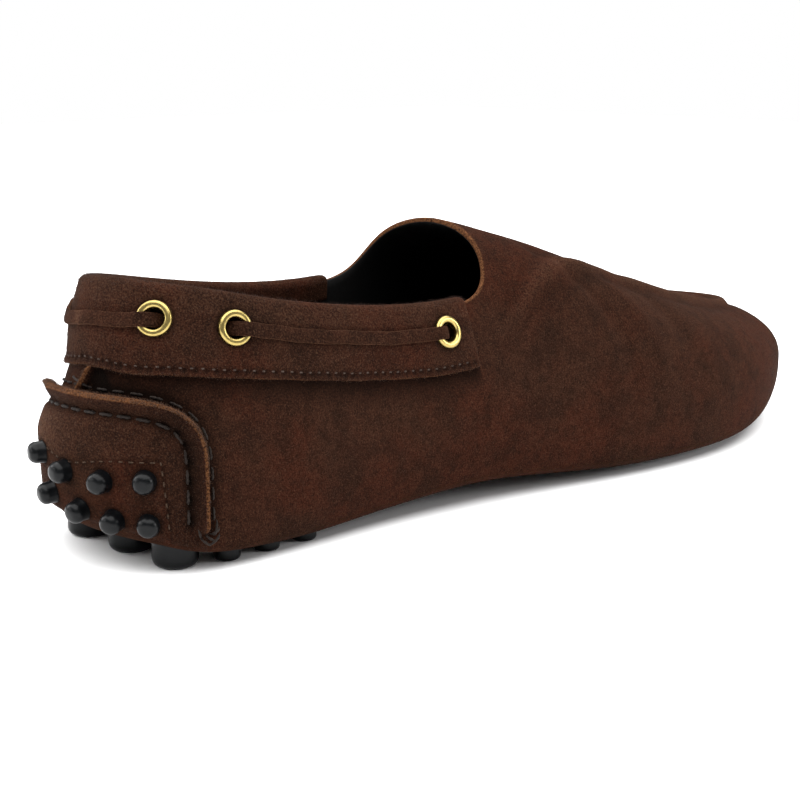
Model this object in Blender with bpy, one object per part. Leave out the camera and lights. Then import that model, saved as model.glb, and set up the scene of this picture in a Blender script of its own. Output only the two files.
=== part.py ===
"""Driving loafer, right shoe, standing empty on its rubber pebbles.

The suede upper is one surface worked out from a table of sections. Each section starts at a
point of the plan outline (its widest line), turns in below to the flat margin that the sole
panel closes, and climbs to a point of the collar, of the tongue's arch or of the vamp's ridge.
Sizes are in millimetres, +Y runs from heel to toe, +X to the outer side, +Z up.
"""
import math

import bmesh
import bpy
import numpy as np
from mathutils import Vector

MM = 0.001

# Driving dimensions: the clearance between pieces
GAP = 0.3
# The upper's wall, its turned lower edge with the flat margin, and the vamp's pinched seam
WALL = 1.6
EDGE_TURN = 9.0
EDGE_FULLNESS = 0.62
MARGIN = 4.5
LEAN_POWER = 1.15
SEAM_RISE = 1.4
SEAM_AT = 0.62
SEAM_WIDTH = 0.07
# The bottom
SOLE_GAP = 0.4
SOLE_THICK = 1.7
INSOLE_THICK = 2.0
INSOLE_INSET = 10.0
# The collar band: depth at the heel's back and from the third section on, fold inside, end
COLLAR_DEPTH_BACK = 19.5
COLLAR_DEPTH_SIDE = 16.5
COLLAR_DEPTH_SECTIONS = (0.8, 3.0)
COLLAR_THICK = 1.3
COLLAR_FOLD = 5.0
COLLAR_END = 5 + 1 / 3
COLLAR_ROWS = (0.35, 0.7)
# The heel patch: its rows from the thinned lower edge up, and the thicker sewn flange
PATCH_LOW = -0.5
PATCH_ROWS = (0.0, 0.1, 0.2, 0.35, 0.5, 0.65, 0.82, 1.0)
PATCH_THIN = 0.5
PATCH_THICK = 1.5
PATCH_FLANGE = 3.4
PATCH_FLANGE_DEPTH = 3.0
PATCH_FLANGE_STEP = 0.3
PATCH_HEIGHT_BACK = 42.0
PATCH_HEIGHT_SIDE = 19.0
PATCH_END = 2.0
PATCH_CORNER = 5.0
PATCH_CORNER_STOP = 0.99
PATCH_CORNER_COLUMNS = (1.8, 1.9, 1.96)
# The standing seam at the centre back
SEAM_RIDGE_WIDTH = 2.4
SEAM_RIDGE_RISE = 2.6
SEAM_RIDGE_LEVELS = 4
# Eyelets and lace
EYELET_RADIUS = 4.4
EYELET_BORE = 2.6
EYELET_RISE = 1.2
EYELET_DROP = 6.2
LACE_WIDTH = 3.5
LACE_THICK = 1.3
LACE_STEPS = {"back": 23, "side": 9}

# A row for each section from the heel's back to the toe: the outline's place along the shoe,
# its half width on the outer and inner side, the height of the bottom, the rise from there to
# the widest line, the half width, place along and height of the top point, how far the wall
# domes over, and the top's centre line.
SECTION_FIELDS = (
    "along", "outer", "inner", "bottom", "rise",
    "top_half", "top_along", "top_height", "dome", "middle",
)
SECTIONS = (
    (0.0, 0.0, 0.0, 9.0, 20.0, 0.0, 11.5, 67.0, 0.0, 0.0),
    (5.0, 17.5, 17.5, 7.6, 21.0, 12.2, 14.5, 66.6, 0.0, 0.0),
    (18.0, 28.5, 28.5, 4.9, 22.0, 21.8, 24.5, 64.9, 0.0, 0.0),
    (42.0, 33.5, 33.0, 2.5, 22.0, 26.5, 45.0, 60.4, 0.0, 0.0),
    (72.0, 34.5, 31.5, 3.6, 21.0, 28.0, 73.0, 56.0, 0.0, 0.0),
    (100.0, 37.0, 30.0, 5.4, 20.0, 28.5, 100.0, 54.6, 0.0, 0.0),
    (118.0, 39.5, 30.8, 5.4, 19.0, 26.8, 115.0, 58.2, 0.15, 0.0),
    (135.0, 42.5, 33.5, 4.2, 18.0, 20.5, 120.5, 67.4, 0.5, 0.0),
    (152.0, 45.8, 37.5, 3.0, 17.5, 10.5, 123.0, 72.8, 0.85, -0.5),
    (168.0, 48.4, 41.5, 2.5, 17.0, 0.0, 124.0, 74.2, 1.0, -1.0),
    (188.0, 50.0, 45.2, 2.5, 16.5, 0.0, 146.0, 67.5, 1.0, -2.0),
    (210.0, 48.5, 46.3, 2.5, 16.0, 0.0, 172.0, 58.6, 1.0, -3.0),
    (232.0, 42.5, 44.2, 3.6, 15.0, 0.0, 196.0, 51.0, 1.0, -4.0),
    (252.0, 33.0, 39.5, 6.2, 13.5, 0.0, 217.0, 45.4, 1.0, -5.0),
    (268.0, 20.5, 30.5, 9.3, 12.0, 0.0, 233.0, 41.8, 1.0, -5.5),
    (280.0, -5.5, 5.5, 11.6, 11.0, 0.0, 245.0, 39.6, 1.0, -5.5),
)
PEAK_SECTION = 9
COLUMN_STEPS = 3
# How much lower the rim lies on the inner side, from the heel's back to the peak
INNER_RIM_DROP = (0.0, 1.0, 0.9, 0.2, 0.0, 0.0, 0.0, 0.0, 0.0, 0.0)
UPPER_ROWS = (-2.0, -1.0, -0.7, -0.4, 0.0, 0.3, 0.55, 0.62, 0.69, 0.85, 1.0)

# Eyelets: section parameter of each one, negative on the inner side
EYELETS = {
    "rear_outer": 1.285, "side_outer": 2.38, "front_outer": 4.85,
    "rear_inner": -2.0, "side_inner": -2.85, "front_inner": -4.85,
}

# Pebbles: radius of each kind, how far those of the heel's back stand out, rounded edge, sides
PEBBLE_RADIUS = {"heel_back": 2.7, "heel": 5.7, "sole": 3.3}
PEBBLE_REACH = 4.4
PEBBLE_EDGE = 1.2
PEBBLE_BEVEL = 0.3
PEBBLE_SEAT = 0.45
PEBBLE_SIDES = 10
# Rows of pebbles on the heel's back: section parameter and height over the floor of each one
HEEL_BACK_ROWS = {
    "upper": ((-0.55, 26.0), (0.05, 23.8), (0.66, 23.0), (1.27, 23.8)),
    "lower": ((-0.32, 17.4), (0.27, 15.5), (0.79, 14.2), (1.3, 13.9)),
}
# Rows of pebbles under the shoe: kind, place along, number across and their spacing
UNDER_ROWS = (
    {"kind": "heel", "along": 17.0, "count": 3, "spacing": 18.2},
    {"kind": "heel", "along": 35.0, "count": 2, "spacing": 18.0},
    {"kind": "sole", "along": 29.0, "count": 2, "spacing": 46.0},
    {"kind": "sole", "along": 41.0, "count": 2, "spacing": 47.0},
    {"kind": "sole", "along": 53.0, "count": 4, "spacing": 15.5},
    {"kind": "sole", "along": 162.0, "count": 4, "spacing": 16.5},
    {"kind": "sole", "along": 178.0, "count": 4, "spacing": 18.0},
    {"kind": "sole", "along": 194.0, "count": 4, "spacing": 18.5},
    {"kind": "sole", "along": 210.0, "count": 4, "spacing": 17.5},
    {"kind": "sole", "along": 225.0, "count": 4, "spacing": 15.0},
)

# Finishes: linear colour, roughness and metallic value
FINISHES = {
    "suede": ((0.075, 0.032, 0.018), 0.95, 0.0),
    "suede_edge": ((0.17, 0.08, 0.045), 0.9, 0.0),
    "sole_suede": ((0.05, 0.024, 0.015), 0.95, 0.0),
    "sock_leather": ((0.012, 0.012, 0.013), 0.7, 0.0),
    "brass": ((0.55, 0.42, 0.16), 0.35, 1.0),
    "rubber": ((0.012, 0.013, 0.015), 0.55, 0.0),
}


def clear_scene():
    """Remove every object that the scene starts with."""
    for item in list(bpy.data.objects):
        bpy.data.objects.remove(item, do_unlink=True)


def finish_material(name, finish):
    """A Principled material with one of the finishes."""
    colour, roughness, metallic = FINISHES[finish]
    material = bpy.data.materials.new(name)
    material.use_nodes = True
    shader = material.node_tree.nodes["Principled BSDF"]
    shader.inputs["Base Color"].default_value = (*colour, 1.0)
    shader.inputs["Roughness"].default_value = roughness
    shader.inputs["Metallic"].default_value = metallic
    return material


def field(name):
    """One column of the table of sections."""
    return np.array(SECTIONS)[:, SECTION_FIELDS.index(name)]


def there_and_back(values, sign=1.0):
    """Values along the outer side, then back along the inner side with a sign."""
    return np.append(values, sign * values[-2:0:-1])


def spline_bends(values):
    """Second derivatives of the closed cubic spline through evenly spaced values."""
    count = len(values)
    matrix = 4.0 * np.eye(count) + np.roll(np.eye(count), 1, 1) + np.roll(np.eye(count), -1, 1)
    change = np.roll(values, 1) - 2.0 * values + np.roll(values, -1)
    return np.linalg.solve(matrix, 6.0 * change)


def closed_curves():
    """Closed splines round the shoe, round the opening's rim and along the ridge and back."""
    rim = slice(0, PEAK_SECTION + 1)
    ridge = slice(PEAK_SECTION, None)
    curves = {"x": np.append(field("outer"), -field("inner")[-2:0:-1])}
    for name in ("along", "bottom", "rise", "dome", "middle"):
        curves[name] = there_and_back(field(name))
    curves["rim_half"] = there_and_back(field("top_half")[rim], -1.0)
    for name in ("top_along", "top_height"):
        curves["rim_" + name] = there_and_back(field(name)[rim])
        curves["ridge_" + name] = there_and_back(field(name)[ridge])
    curves["rim_top_height"][PEAK_SECTION + 1:] -= INNER_RIM_DROP[-2:0:-1]
    return {name: (values, spline_bends(values)) for name, values in curves.items()}


CURVES = closed_curves()
TURN_COUNT = 2 * (len(SECTIONS) - 1)


def around(name, u):
    """The value of one of the closed splines at parameter u."""
    values, bends = CURVES[name]
    start = np.floor(u).astype(int)
    t = u - start
    low = start % len(values)
    high = (start + 1) % len(values)
    straight = (1 - t) * values[low] + t * values[high]
    return straight + ((1 - t) ** 3 - (1 - t)) * bends[low] / 6 + (t**3 - t) * bends[high] / 6


def top_point(u):
    """Where a section ends: on the rim of the opening, or past the peak on the vamp's ridge."""
    wrapped = u % TURN_COUNT
    on_ridge = (wrapped >= PEAK_SECTION) & (wrapped <= TURN_COUNT - PEAK_SECTION)
    rim = np.where(wrapped > PEAK_SECTION, wrapped - TURN_COUNT, wrapped)
    ridge = wrapped - PEAK_SECTION
    x = around("middle", u) + np.where(on_ridge, 0.0, around("rim_half", rim))
    y = np.where(on_ridge, around("ridge_top_along", ridge), around("rim_top_along", rim))
    z = np.where(on_ridge, around("ridge_top_height", ridge), around("rim_top_height", rim))
    return x, y, z


def bottom_at(along):
    """Height of the bottom at a place along the shoe."""
    stations = np.linspace(0.0, TURN_COUNT / 2, 400)
    return np.interp(along, around("along", stations), around("bottom", stations))


def ridge_slope(along):
    """Slope of the vamp's ridge line at a place along the shoe."""
    line = field("top_along")[PEAK_SECTION:]
    return np.interp(along, line, np.gradient(field("top_height")[PEAK_SECTION:], line))


def surface(u, v):
    """The upper's outer face: v -2 to -1 is the margin, to 0 the turned edge, to 1 the wall."""
    u, v = np.broadcast_arrays(np.asarray(u, float), np.asarray(v, float))
    step = 0.01
    x = around("x", u)
    y = around("along", u)
    run_x = around("x", u + step) - around("x", u - step)
    run_y = around("along", u + step) - around("along", u - step)
    run = np.hypot(run_x, run_y)
    dome = np.clip(around("dome", u), 0.0, 1.0)
    top_x, top_y, top_z = top_point(u)
    rise_wide = around("rise", u)

    turn = np.clip(v + 1.0, 0.0, 1.0) * math.pi / 2
    turned_in = 1 - np.sin(turn) ** EDGE_FULLNESS
    turned_up = 1 - np.abs(np.cos(turn)) ** EDGE_FULLNESS
    inset = EDGE_TURN * turned_in + MARGIN * np.clip(-1.0 - v, 0.0, 1.0)
    climb = np.clip(v, 0.0, 1.0)
    arc = climb * math.pi / 2
    lean = (1 - dome) * climb**LEAN_POWER + dome * (1 - np.cos(arc))
    rise = (1 - dome) * climb + dome * np.sin(arc)
    ridge = dome * (math.pi / 2) * climb**2 * (climb - 1) * (top_y - y) * ridge_slope(top_y)
    low_y = y + run_x / run * inset
    bottom = bottom_at(low_y)
    z = bottom + rise_wide * turned_up + (top_z - bottom - rise_wide) * rise + ridge
    return np.stack((
        x - run_y / run * inset + (top_x - x) * lean,
        low_y + (top_y - y) * lean,
        z,
    ), axis=-1)


def frame_at(u, v):
    """Outward normal and upward tangent of the upper's face."""
    step = 0.004
    v = np.asarray(v, float)
    inside = np.minimum(v, 1.0 - step)
    along = surface(u + step, inside) - surface(u - step, inside)
    upward = surface(u, np.minimum(v + step, 1.0)) - surface(u, np.maximum(v - step, -2.0))
    normal = np.cross(along, upward)
    normal /= np.linalg.norm(normal, axis=-1, keepdims=True)
    upward /= np.linalg.norm(upward, axis=-1, keepdims=True)
    return normal, upward


def skin(u, v, out):
    """The upper's face moved outwards by a distance."""
    u, v, out = np.broadcast_arrays(np.asarray(u, float), np.asarray(v, float), out)
    return surface(u, v) + frame_at(u, v)[0] * out[..., None]


def columns_to(end):
    """The upper's own columns from one side of the heel to the other."""
    count = round(end * COLUMN_STEPS)
    return np.arange(-count, count + 1) / COLUMN_STEPS


def wall_level(u, height):
    """The wall's v at a height over the floor, on a side that doesn't dome."""
    wide = around("bottom", u) + around("rise", u)
    climb = (height - wide) / (top_point(u)[2] - wide)
    below = np.clip((wide - height) / around("rise", u), 0.0, 1.0)
    turned = np.arccos(below ** (1 / EDGE_FULLNESS)) / (math.pi / 2) - 1
    return np.where(height >= wide, climb, turned)


def add_object(name, points, faces, finish, smooth_angle=35.0):
    """One closed solid from points in millimetres, with its own material."""
    mesh = bpy.data.meshes.new(name)
    mesh.from_pydata((np.asarray(points).reshape(-1, 3) * MM).tolist(), [], faces)
    solid = bmesh.new()
    solid.from_mesh(mesh)
    bmesh.ops.remove_doubles(solid, verts=solid.verts, dist=0.00002)
    bmesh.ops.dissolve_degenerate(solid, dist=0.00001, edges=solid.edges)
    bmesh.ops.recalc_face_normals(solid, faces=solid.faces)
    solid.to_mesh(mesh)
    solid.free()
    mesh.shade_smooth()
    mesh.set_sharp_from_angle(angle=math.radians(smooth_angle))
    mesh.materials.append(finish_material(name + "_finish", finish))
    item = bpy.data.objects.new(name, mesh)
    bpy.context.collection.objects.link(item)
    item.parent = SHOE
    return item


def grid_faces(rows, columns, start=0, closed=False):
    """Quads of a grid of points that are stored row by row."""
    faces = []
    for row in range(rows - 1):
        for column in range(columns if closed else columns - 1):
            after = (column + 1) % columns
            low = start + row * columns
            high = low + columns
            faces.append((low + column, low + after, high + after, high + column))
    return faces


def add_plate(name, inner, outer, finish):
    """A closed sheet between two grids of points of the same size."""
    rows, columns = inner.shape[:2]
    count = rows * columns
    ring = list(range(columns))
    ring += [row * columns + columns - 1 for row in range(1, rows)]
    ring += [(rows - 1) * columns + column for column in range(columns - 2, -1, -1)]
    ring += [row * columns for row in range(rows - 2, 0, -1)]
    faces = grid_faces(rows, columns, count)
    faces += [tuple(reversed(face)) for face in grid_faces(rows, columns)]
    for index, corner in enumerate(ring):
        after = ring[(index + 1) % len(ring)]
        faces.append((corner, after, after + count, corner + count))
    points = np.concatenate((inner.reshape(-1, 3), outer.reshape(-1, 3)))
    return add_object(name, points, faces, finish)


def add_turned(name, profile, closed, segments, finish, place, axis):
    """A solid turned about its own Z from a profile of radius and height, then placed."""
    angles = np.arange(segments) * 2 * math.pi / segments
    radius = np.array(profile)[:, 0]
    height = np.array(profile)[:, 1]
    points = np.stack((
        radius[:, None] * np.cos(angles),
        radius[:, None] * np.sin(angles),
        np.broadcast_to(height[:, None], (len(profile), segments)),
    ), axis=-1)
    faces = grid_faces(len(profile), segments, closed=True)
    if closed:
        last = (len(profile) - 1) * segments
        for column in range(segments):
            after = (column + 1) % segments
            faces.append((last + column, last + after, after, column))
    else:
        faces.append(tuple(range(segments - 1, -1, -1)))
        last = (len(profile) - 1) * segments
        faces.append(tuple(range(last, last + segments)))
    item = add_object(name, points, faces, finish)
    item.location = Vector(place) * MM
    item.rotation_mode = "QUATERNION"
    item.rotation_quaternion = Vector(axis).to_track_quat("Z", "Y")
    return item


def build_upper():
    """The hollow suede body: the outer face as a grid, given its wall inwards."""
    u = np.arange(TURN_COUNT * COLUMN_STEPS) / COLUMN_STEPS
    v = np.array(UPPER_ROWS)[:, None]
    dome = np.clip(around("dome", u), 0.0, 1.0)
    pinch = np.clip(1 - np.abs(v - SEAM_AT) / SEAM_WIDTH, 0.0, 1.0)
    points = skin(u, v, SEAM_RISE * pinch * dome)
    faces = grid_faces(len(UPPER_ROWS), len(u), closed=True)
    upper = add_object("upper", points, faces, "suede", smooth_angle=60.0)
    wall = upper.modifiers.new("wall", "SOLIDIFY")
    wall.thickness = WALL * MM
    wall.offset = -1.0
    wall.use_even_offset = True
    wall.use_quality_normals = True
    return upper


def bottom_sheet(inset, lift, across):
    """A grid of points across the bottom, inside the outline by inset and lifted by lift."""
    stations = np.linspace(0.0, TURN_COUNT / 2, TURN_COUNT * COLUMN_STEPS // 2 + 1)
    step = 0.01
    edges = []
    for u in (stations, TURN_COUNT - stations):
        run_x = around("x", u + step) - around("x", u - step)
        run_y = around("along", u + step) - around("along", u - step)
        run = np.hypot(run_x, run_y)
        x = around("x", u) - run_y / run * inset
        y = around("along", u) + run_x / run * inset
        edges.append(np.stack((x, y, bottom_at(y) + lift), axis=-1))
    share = np.linspace(0.0, 1.0, across)[None, :, None]
    return edges[0][:, None] * (1 - share) + edges[1][:, None] * share


def build_bottom():
    """The sole panel that closes the upper underneath, and the insole on top of it."""
    inset = EDGE_TURN + MARGIN + SOLE_GAP
    add_plate("sole", bottom_sheet(inset, 0.0, 3), bottom_sheet(inset, SOLE_THICK, 3), "sole_suede")
    floor = max(SOLE_THICK, WALL) + GAP
    add_plate(
        "insole",
        bottom_sheet(INSOLE_INSET, floor, 3),
        bottom_sheet(INSOLE_INSET, floor + INSOLE_THICK, 3),
        "sock_leather",
    )


def collar_edge(u):
    """Height of the collar band's lower edge, which nears the top towards the throat."""
    depths = (COLLAR_DEPTH_BACK, COLLAR_DEPTH_SIDE)
    depth = np.interp(np.abs(u), COLLAR_DEPTH_SECTIONS, depths)
    return top_point(u)[2] - depth


def build_collar():
    """The folded band: an inverted J over the top edge, carried from throat to throat."""
    u = columns_to(COLLAR_END)
    normal, upward = frame_at(u, np.ones_like(u))
    top = surface(u, np.ones_like(u))
    low = wall_level(u, collar_edge(u))
    inside = WALL / 2 + GAP
    outside = inside + COLLAR_THICK

    def over_edge(reach, angle):
        """Points of the fold at an angle round the middle of the wall's top edge."""
        out = reach * math.cos(math.radians(angle)) - WALL / 2
        return top + normal * out + upward * reach * math.sin(math.radians(angle))

    ring = [skin(u, low, GAP), skin(u, low, GAP + COLLAR_THICK)]
    ring += [skin(u, low + (1 - low) * share, GAP + COLLAR_THICK) for share in COLLAR_ROWS]
    ring += [over_edge(outside, angle) for angle in (0, 45, 90, 135, 180)]
    ring += [over_edge(reach, 180) - upward * COLLAR_FOLD for reach in (outside, inside)]
    ring += [over_edge(inside, angle) for angle in (180, 90, 0)]
    ring += [skin(u, low + (1 - low) * share, GAP) for share in reversed(COLLAR_ROWS)]
    points = np.stack(ring, axis=1)
    size = len(ring)
    faces = grid_faces(len(u), size, closed=True)
    faces.append(tuple(range(size - 1, -1, -1)))
    last = (len(u) - 1) * size
    faces.append(tuple(range(last, last + size)))
    add_object("collar_band", points, faces, "suede", smooth_angle=50.0)


def patch_edge(u):
    """Height of the heel patch's sewn edge: level at the back, with rounded upper corners."""
    reach = np.minimum(np.abs(u) / PATCH_END, PATCH_CORNER_STOP)
    corner = (1 - reach**PATCH_CORNER) ** (1 / PATCH_CORNER)
    return PATCH_HEIGHT_SIDE + (PATCH_HEIGHT_BACK - PATCH_HEIGHT_SIDE) * corner


def build_heel_patch():
    """The patch round the heel, thicker along its pinched edge."""
    corners = np.array(PATCH_CORNER_COLUMNS)
    u = np.sort(np.concatenate((columns_to(PATCH_END), corners, -corners)))
    edge = patch_edge(u)
    flange = wall_level(u, edge - PATCH_FLANGE_DEPTH)
    top = wall_level(u, edge)
    rows = [PATCH_LOW + (flange - PATCH_LOW) * share for share in PATCH_ROWS]
    rows += [flange + (top - flange) * PATCH_FLANGE_STEP, top]
    v = np.stack(rows)
    thick = [PATCH_THIN] + [PATCH_THICK] * (len(PATCH_ROWS) - 1) + [PATCH_FLANGE] * 2
    outside = GAP + np.array(thick)[:, None]
    add_plate("heel_patch", skin(u, v, GAP), skin(u, v, outside), "suede")


def build_back_seam():
    """The standing seam at the centre back between heel patch and collar band."""
    low = PATCH_HEIGHT_BACK + GAP
    high = collar_edge(np.zeros(1))[0] - GAP
    levels = np.linspace(low, high, SEAM_RIDGE_LEVELS)
    step = 0.05
    span = np.linalg.norm(surface(step, 0.5) - surface(-step, 0.5)) / (2 * step)
    u = np.array([-0.5, 0.5]) * SEAM_RIDGE_WIDTH / span
    v = wall_level(u, levels[:, None])
    add_plate("back_seam", skin(u, v, GAP), skin(u, v, GAP + SEAM_RIDGE_RISE), "suede_edge")


def collar_face(u):
    """Point and outward normal on the collar band's face at the eyelets' height."""
    u = np.atleast_1d(np.asarray(u, float))
    v = wall_level(u, top_point(u)[2] - EYELET_DROP)
    normal = frame_at(u, v)[0]
    return skin(u, v, GAP + COLLAR_THICK + GAP), normal


def build_eyelets():
    """Rolled brass rings on the collar band, three on each side."""
    half = (EYELET_RADIUS - EYELET_BORE) / 2
    middle = (EYELET_RADIUS + EYELET_BORE) / 2
    profile = [(EYELET_RADIUS, 0.0)]
    for angle in (20, 65, 115, 160):
        turn = math.radians(angle)
        profile.append((middle + half * math.cos(turn), EYELET_RISE * math.sin(turn)))
    profile.append((EYELET_BORE, 0.0))
    for place, u in EYELETS.items():
        point, normal = collar_face(u)
        add_turned("eyelet_" + place, profile, True, 16, "brass", point[0], normal[0])


def add_lace(name, start, end, count):
    """A flat lace on the collar band's face from one section parameter to another."""
    u = np.linspace(start, end, count)
    half = LACE_WIDTH / 2
    rows = []
    for out in (2 * GAP + COLLAR_THICK, 2 * GAP + COLLAR_THICK + LACE_THICK):
        levels = []
        for up in (-half, half):
            level = wall_level(u, top_point(u)[2] - EYELET_DROP + up)
            levels.append(skin(u, level, out))
        rows.append(np.stack(levels))
    add_plate(name, rows[0], rows[1], "suede")


def eyelet_reach(u):
    """Section parameter that the eyelet's radius and a gap span at u."""
    step = 0.05
    span = np.linalg.norm(collar_face(u + step)[0] - collar_face(u)[0])
    return step * (EYELET_RADIUS + 2 * GAP) / span


def build_laces():
    """The lace's outside runs: round the heel, and forward on both sides."""
    runs = {
        "lace_back": ("rear_inner", "rear_outer", "back"),
        "lace_outer": ("side_outer", "front_outer", "side"),
        "lace_inner": ("front_inner", "side_inner", "side"),
    }
    for name, (first, last, kind) in runs.items():
        start = EYELETS[first] + eyelet_reach(EYELETS[first])
        end = EYELETS[last] - eyelet_reach(EYELETS[last])
        add_lace(name, start, end, LACE_STEPS[kind])


def pebble_profile(radius, height, round_edge):
    """Profile of a short rubber cylinder with a rounded outer edge."""
    profile = [(radius, 0.0), (radius, height - round_edge)]
    for angle in (45, 90):
        turn = math.radians(angle)
        inner = radius - round_edge + round_edge * math.cos(turn)
        profile.append((inner, height - round_edge + round_edge * math.sin(turn)))
    return profile


def build_heel_back_pebbles():
    """Two rows of small pebbles that stand out of the heel patch."""
    profile = pebble_profile(PEBBLE_RADIUS["heel_back"], PEBBLE_REACH, PEBBLE_EDGE)
    for row, places in HEEL_BACK_ROWS.items():
        for index, (section, height) in enumerate(places):
            u = np.array([section])
            v = wall_level(u, height)
            point = skin(u, v, PATCH_THICK + 2 * GAP)[0]
            normal = frame_at(u, v)[0][0]
            name = "heel_back_pebble_" + row + "_" + str(index + 1)
            add_turned(name, profile, False, PEBBLE_SIDES, "rubber", point, normal)


def bottom_middle(along):
    """Centre of the bottom's width at a place along the shoe."""
    stations = np.linspace(0.0, TURN_COUNT / 2, 400)
    outer = np.interp(along, around("along", stations), around("x", stations))
    inner = np.interp(along, around("along", stations), around("x", TURN_COUNT - stations))
    return (outer + inner) / 2


def under_height(x, y):
    """Height of the suede over a place on the floor, from its distance to the outline."""
    u = np.linspace(0.0, TURN_COUNT, 1500)
    away = np.hypot(x[..., None] - around("x", u), y[..., None] - around("along", u))
    level = np.clip(1 - away.min(axis=-1) / EDGE_TURN, 0.0, 1.0) ** (1 / EDGE_FULLNESS)
    turned_up = 1 - np.cos(np.arcsin(level)) ** EDGE_FULLNESS
    return bottom_at(y) + around("rise", u[away.argmin(axis=-1)]) * turned_up


def add_floor_pebble(name, x, y, radius):
    """A rubber cylinder from the floor up to the suede, whose slope its top follows."""
    angles = np.arange(PEBBLE_SIDES) * 2 * math.pi / PEBBLE_SIDES
    bevel = PEBBLE_BEVEL * PEBBLE_EDGE
    size = np.array((radius - PEBBLE_EDGE, radius - bevel, radius, radius, radius / 2, 0.0))
    ring_x = x + size[:, None] * np.cos(angles)
    ring_y = y + size[:, None] * np.sin(angles)
    ring_z = under_height(ring_x, ring_y) - PEBBLE_SEAT
    ring_z[:3] = np.array((0.0, bevel, PEBBLE_EDGE))[:, None]
    points = np.stack((ring_x, ring_y, ring_z), axis=-1)
    faces = grid_faces(len(size), PEBBLE_SIDES, closed=True)
    faces.append(tuple(range(PEBBLE_SIDES - 1, -1, -1)))
    add_object(name, points, faces, "rubber")


def build_under_pebbles():
    """Rows of pebbles under heel, waist and forefoot, with flat faces on the floor."""
    numbers = {"heel": 0, "sole": 0}
    for row in UNDER_ROWS:
        middle = bottom_middle(row["along"])
        for index in range(row["count"]):
            numbers[row["kind"]] += 1
            x = middle + (index - (row["count"] - 1) / 2) * row["spacing"]
            name = row["kind"] + "_pebble_" + str(numbers[row["kind"]])
            add_floor_pebble(name, x, row["along"], PEBBLE_RADIUS[row["kind"]])


def centre_shoe():
    """Move the whole shoe so that the origin is under the middle of its box."""
    bpy.context.view_layer.update()
    corners = []
    for item in SHOE.children:
        count = len(item.data.vertices)
        points = np.empty(count * 3)
        item.data.vertices.foreach_get("co", points)
        world = np.array(item.matrix_world)
        corners.append(points.reshape(-1, 3) @ world[:3, :3].T + world[:3, 3])
    corners = np.concatenate(corners)
    low = corners.min(axis=0)
    high = corners.max(axis=0)
    SHOE.location = (-(low[0] + high[0]) / 2, -(low[1] + high[1]) / 2, -low[2])


clear_scene()
SHOE = bpy.data.objects.new("shoe_frame", None)
bpy.context.collection.objects.link(SHOE)
build_upper()
build_bottom()
build_collar()
build_heel_patch()
build_back_seam()
build_eyelets()
build_laces()
build_heel_back_pebbles()
build_under_pebbles()
centre_shoe()
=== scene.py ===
# %% [markdown]
# A brown suede driving loafer, the right shoe, seen from behind on its outer side.
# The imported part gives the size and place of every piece. Each soft piece is worked out
# again here as a finer surface from the same last, and takes the place of its solid.

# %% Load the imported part
import math

import bmesh
import bpy
import numpy as np
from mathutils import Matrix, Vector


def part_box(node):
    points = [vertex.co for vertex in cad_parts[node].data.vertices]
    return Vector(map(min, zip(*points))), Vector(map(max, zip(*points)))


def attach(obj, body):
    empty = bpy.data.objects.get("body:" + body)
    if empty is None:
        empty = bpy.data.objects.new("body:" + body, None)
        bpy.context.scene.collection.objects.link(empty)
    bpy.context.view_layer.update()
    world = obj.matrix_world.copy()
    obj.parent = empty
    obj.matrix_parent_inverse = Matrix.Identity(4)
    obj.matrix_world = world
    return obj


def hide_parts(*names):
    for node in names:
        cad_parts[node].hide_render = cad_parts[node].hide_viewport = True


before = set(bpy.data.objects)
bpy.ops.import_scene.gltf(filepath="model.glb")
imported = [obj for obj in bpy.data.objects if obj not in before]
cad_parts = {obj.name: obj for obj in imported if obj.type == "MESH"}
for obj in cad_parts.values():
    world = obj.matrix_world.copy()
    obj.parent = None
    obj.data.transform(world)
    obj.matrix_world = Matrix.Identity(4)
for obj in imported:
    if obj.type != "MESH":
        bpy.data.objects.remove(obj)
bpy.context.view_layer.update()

MM = 0.001
print("pieces in the part:", len(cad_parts))

# %% [markdown]
# The shoe is built on a last, the form that a shoemaker pulls the leather over. It could be
# sculpted by hand, but a table keeps every size in sight. A row is one section, from the heel's
# back to the toe: where the outline is, how wide it is on the outer and inner side, how high the
# bottom and the widest line lie, and where the top of the wall ends, all in millimetres.

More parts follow.
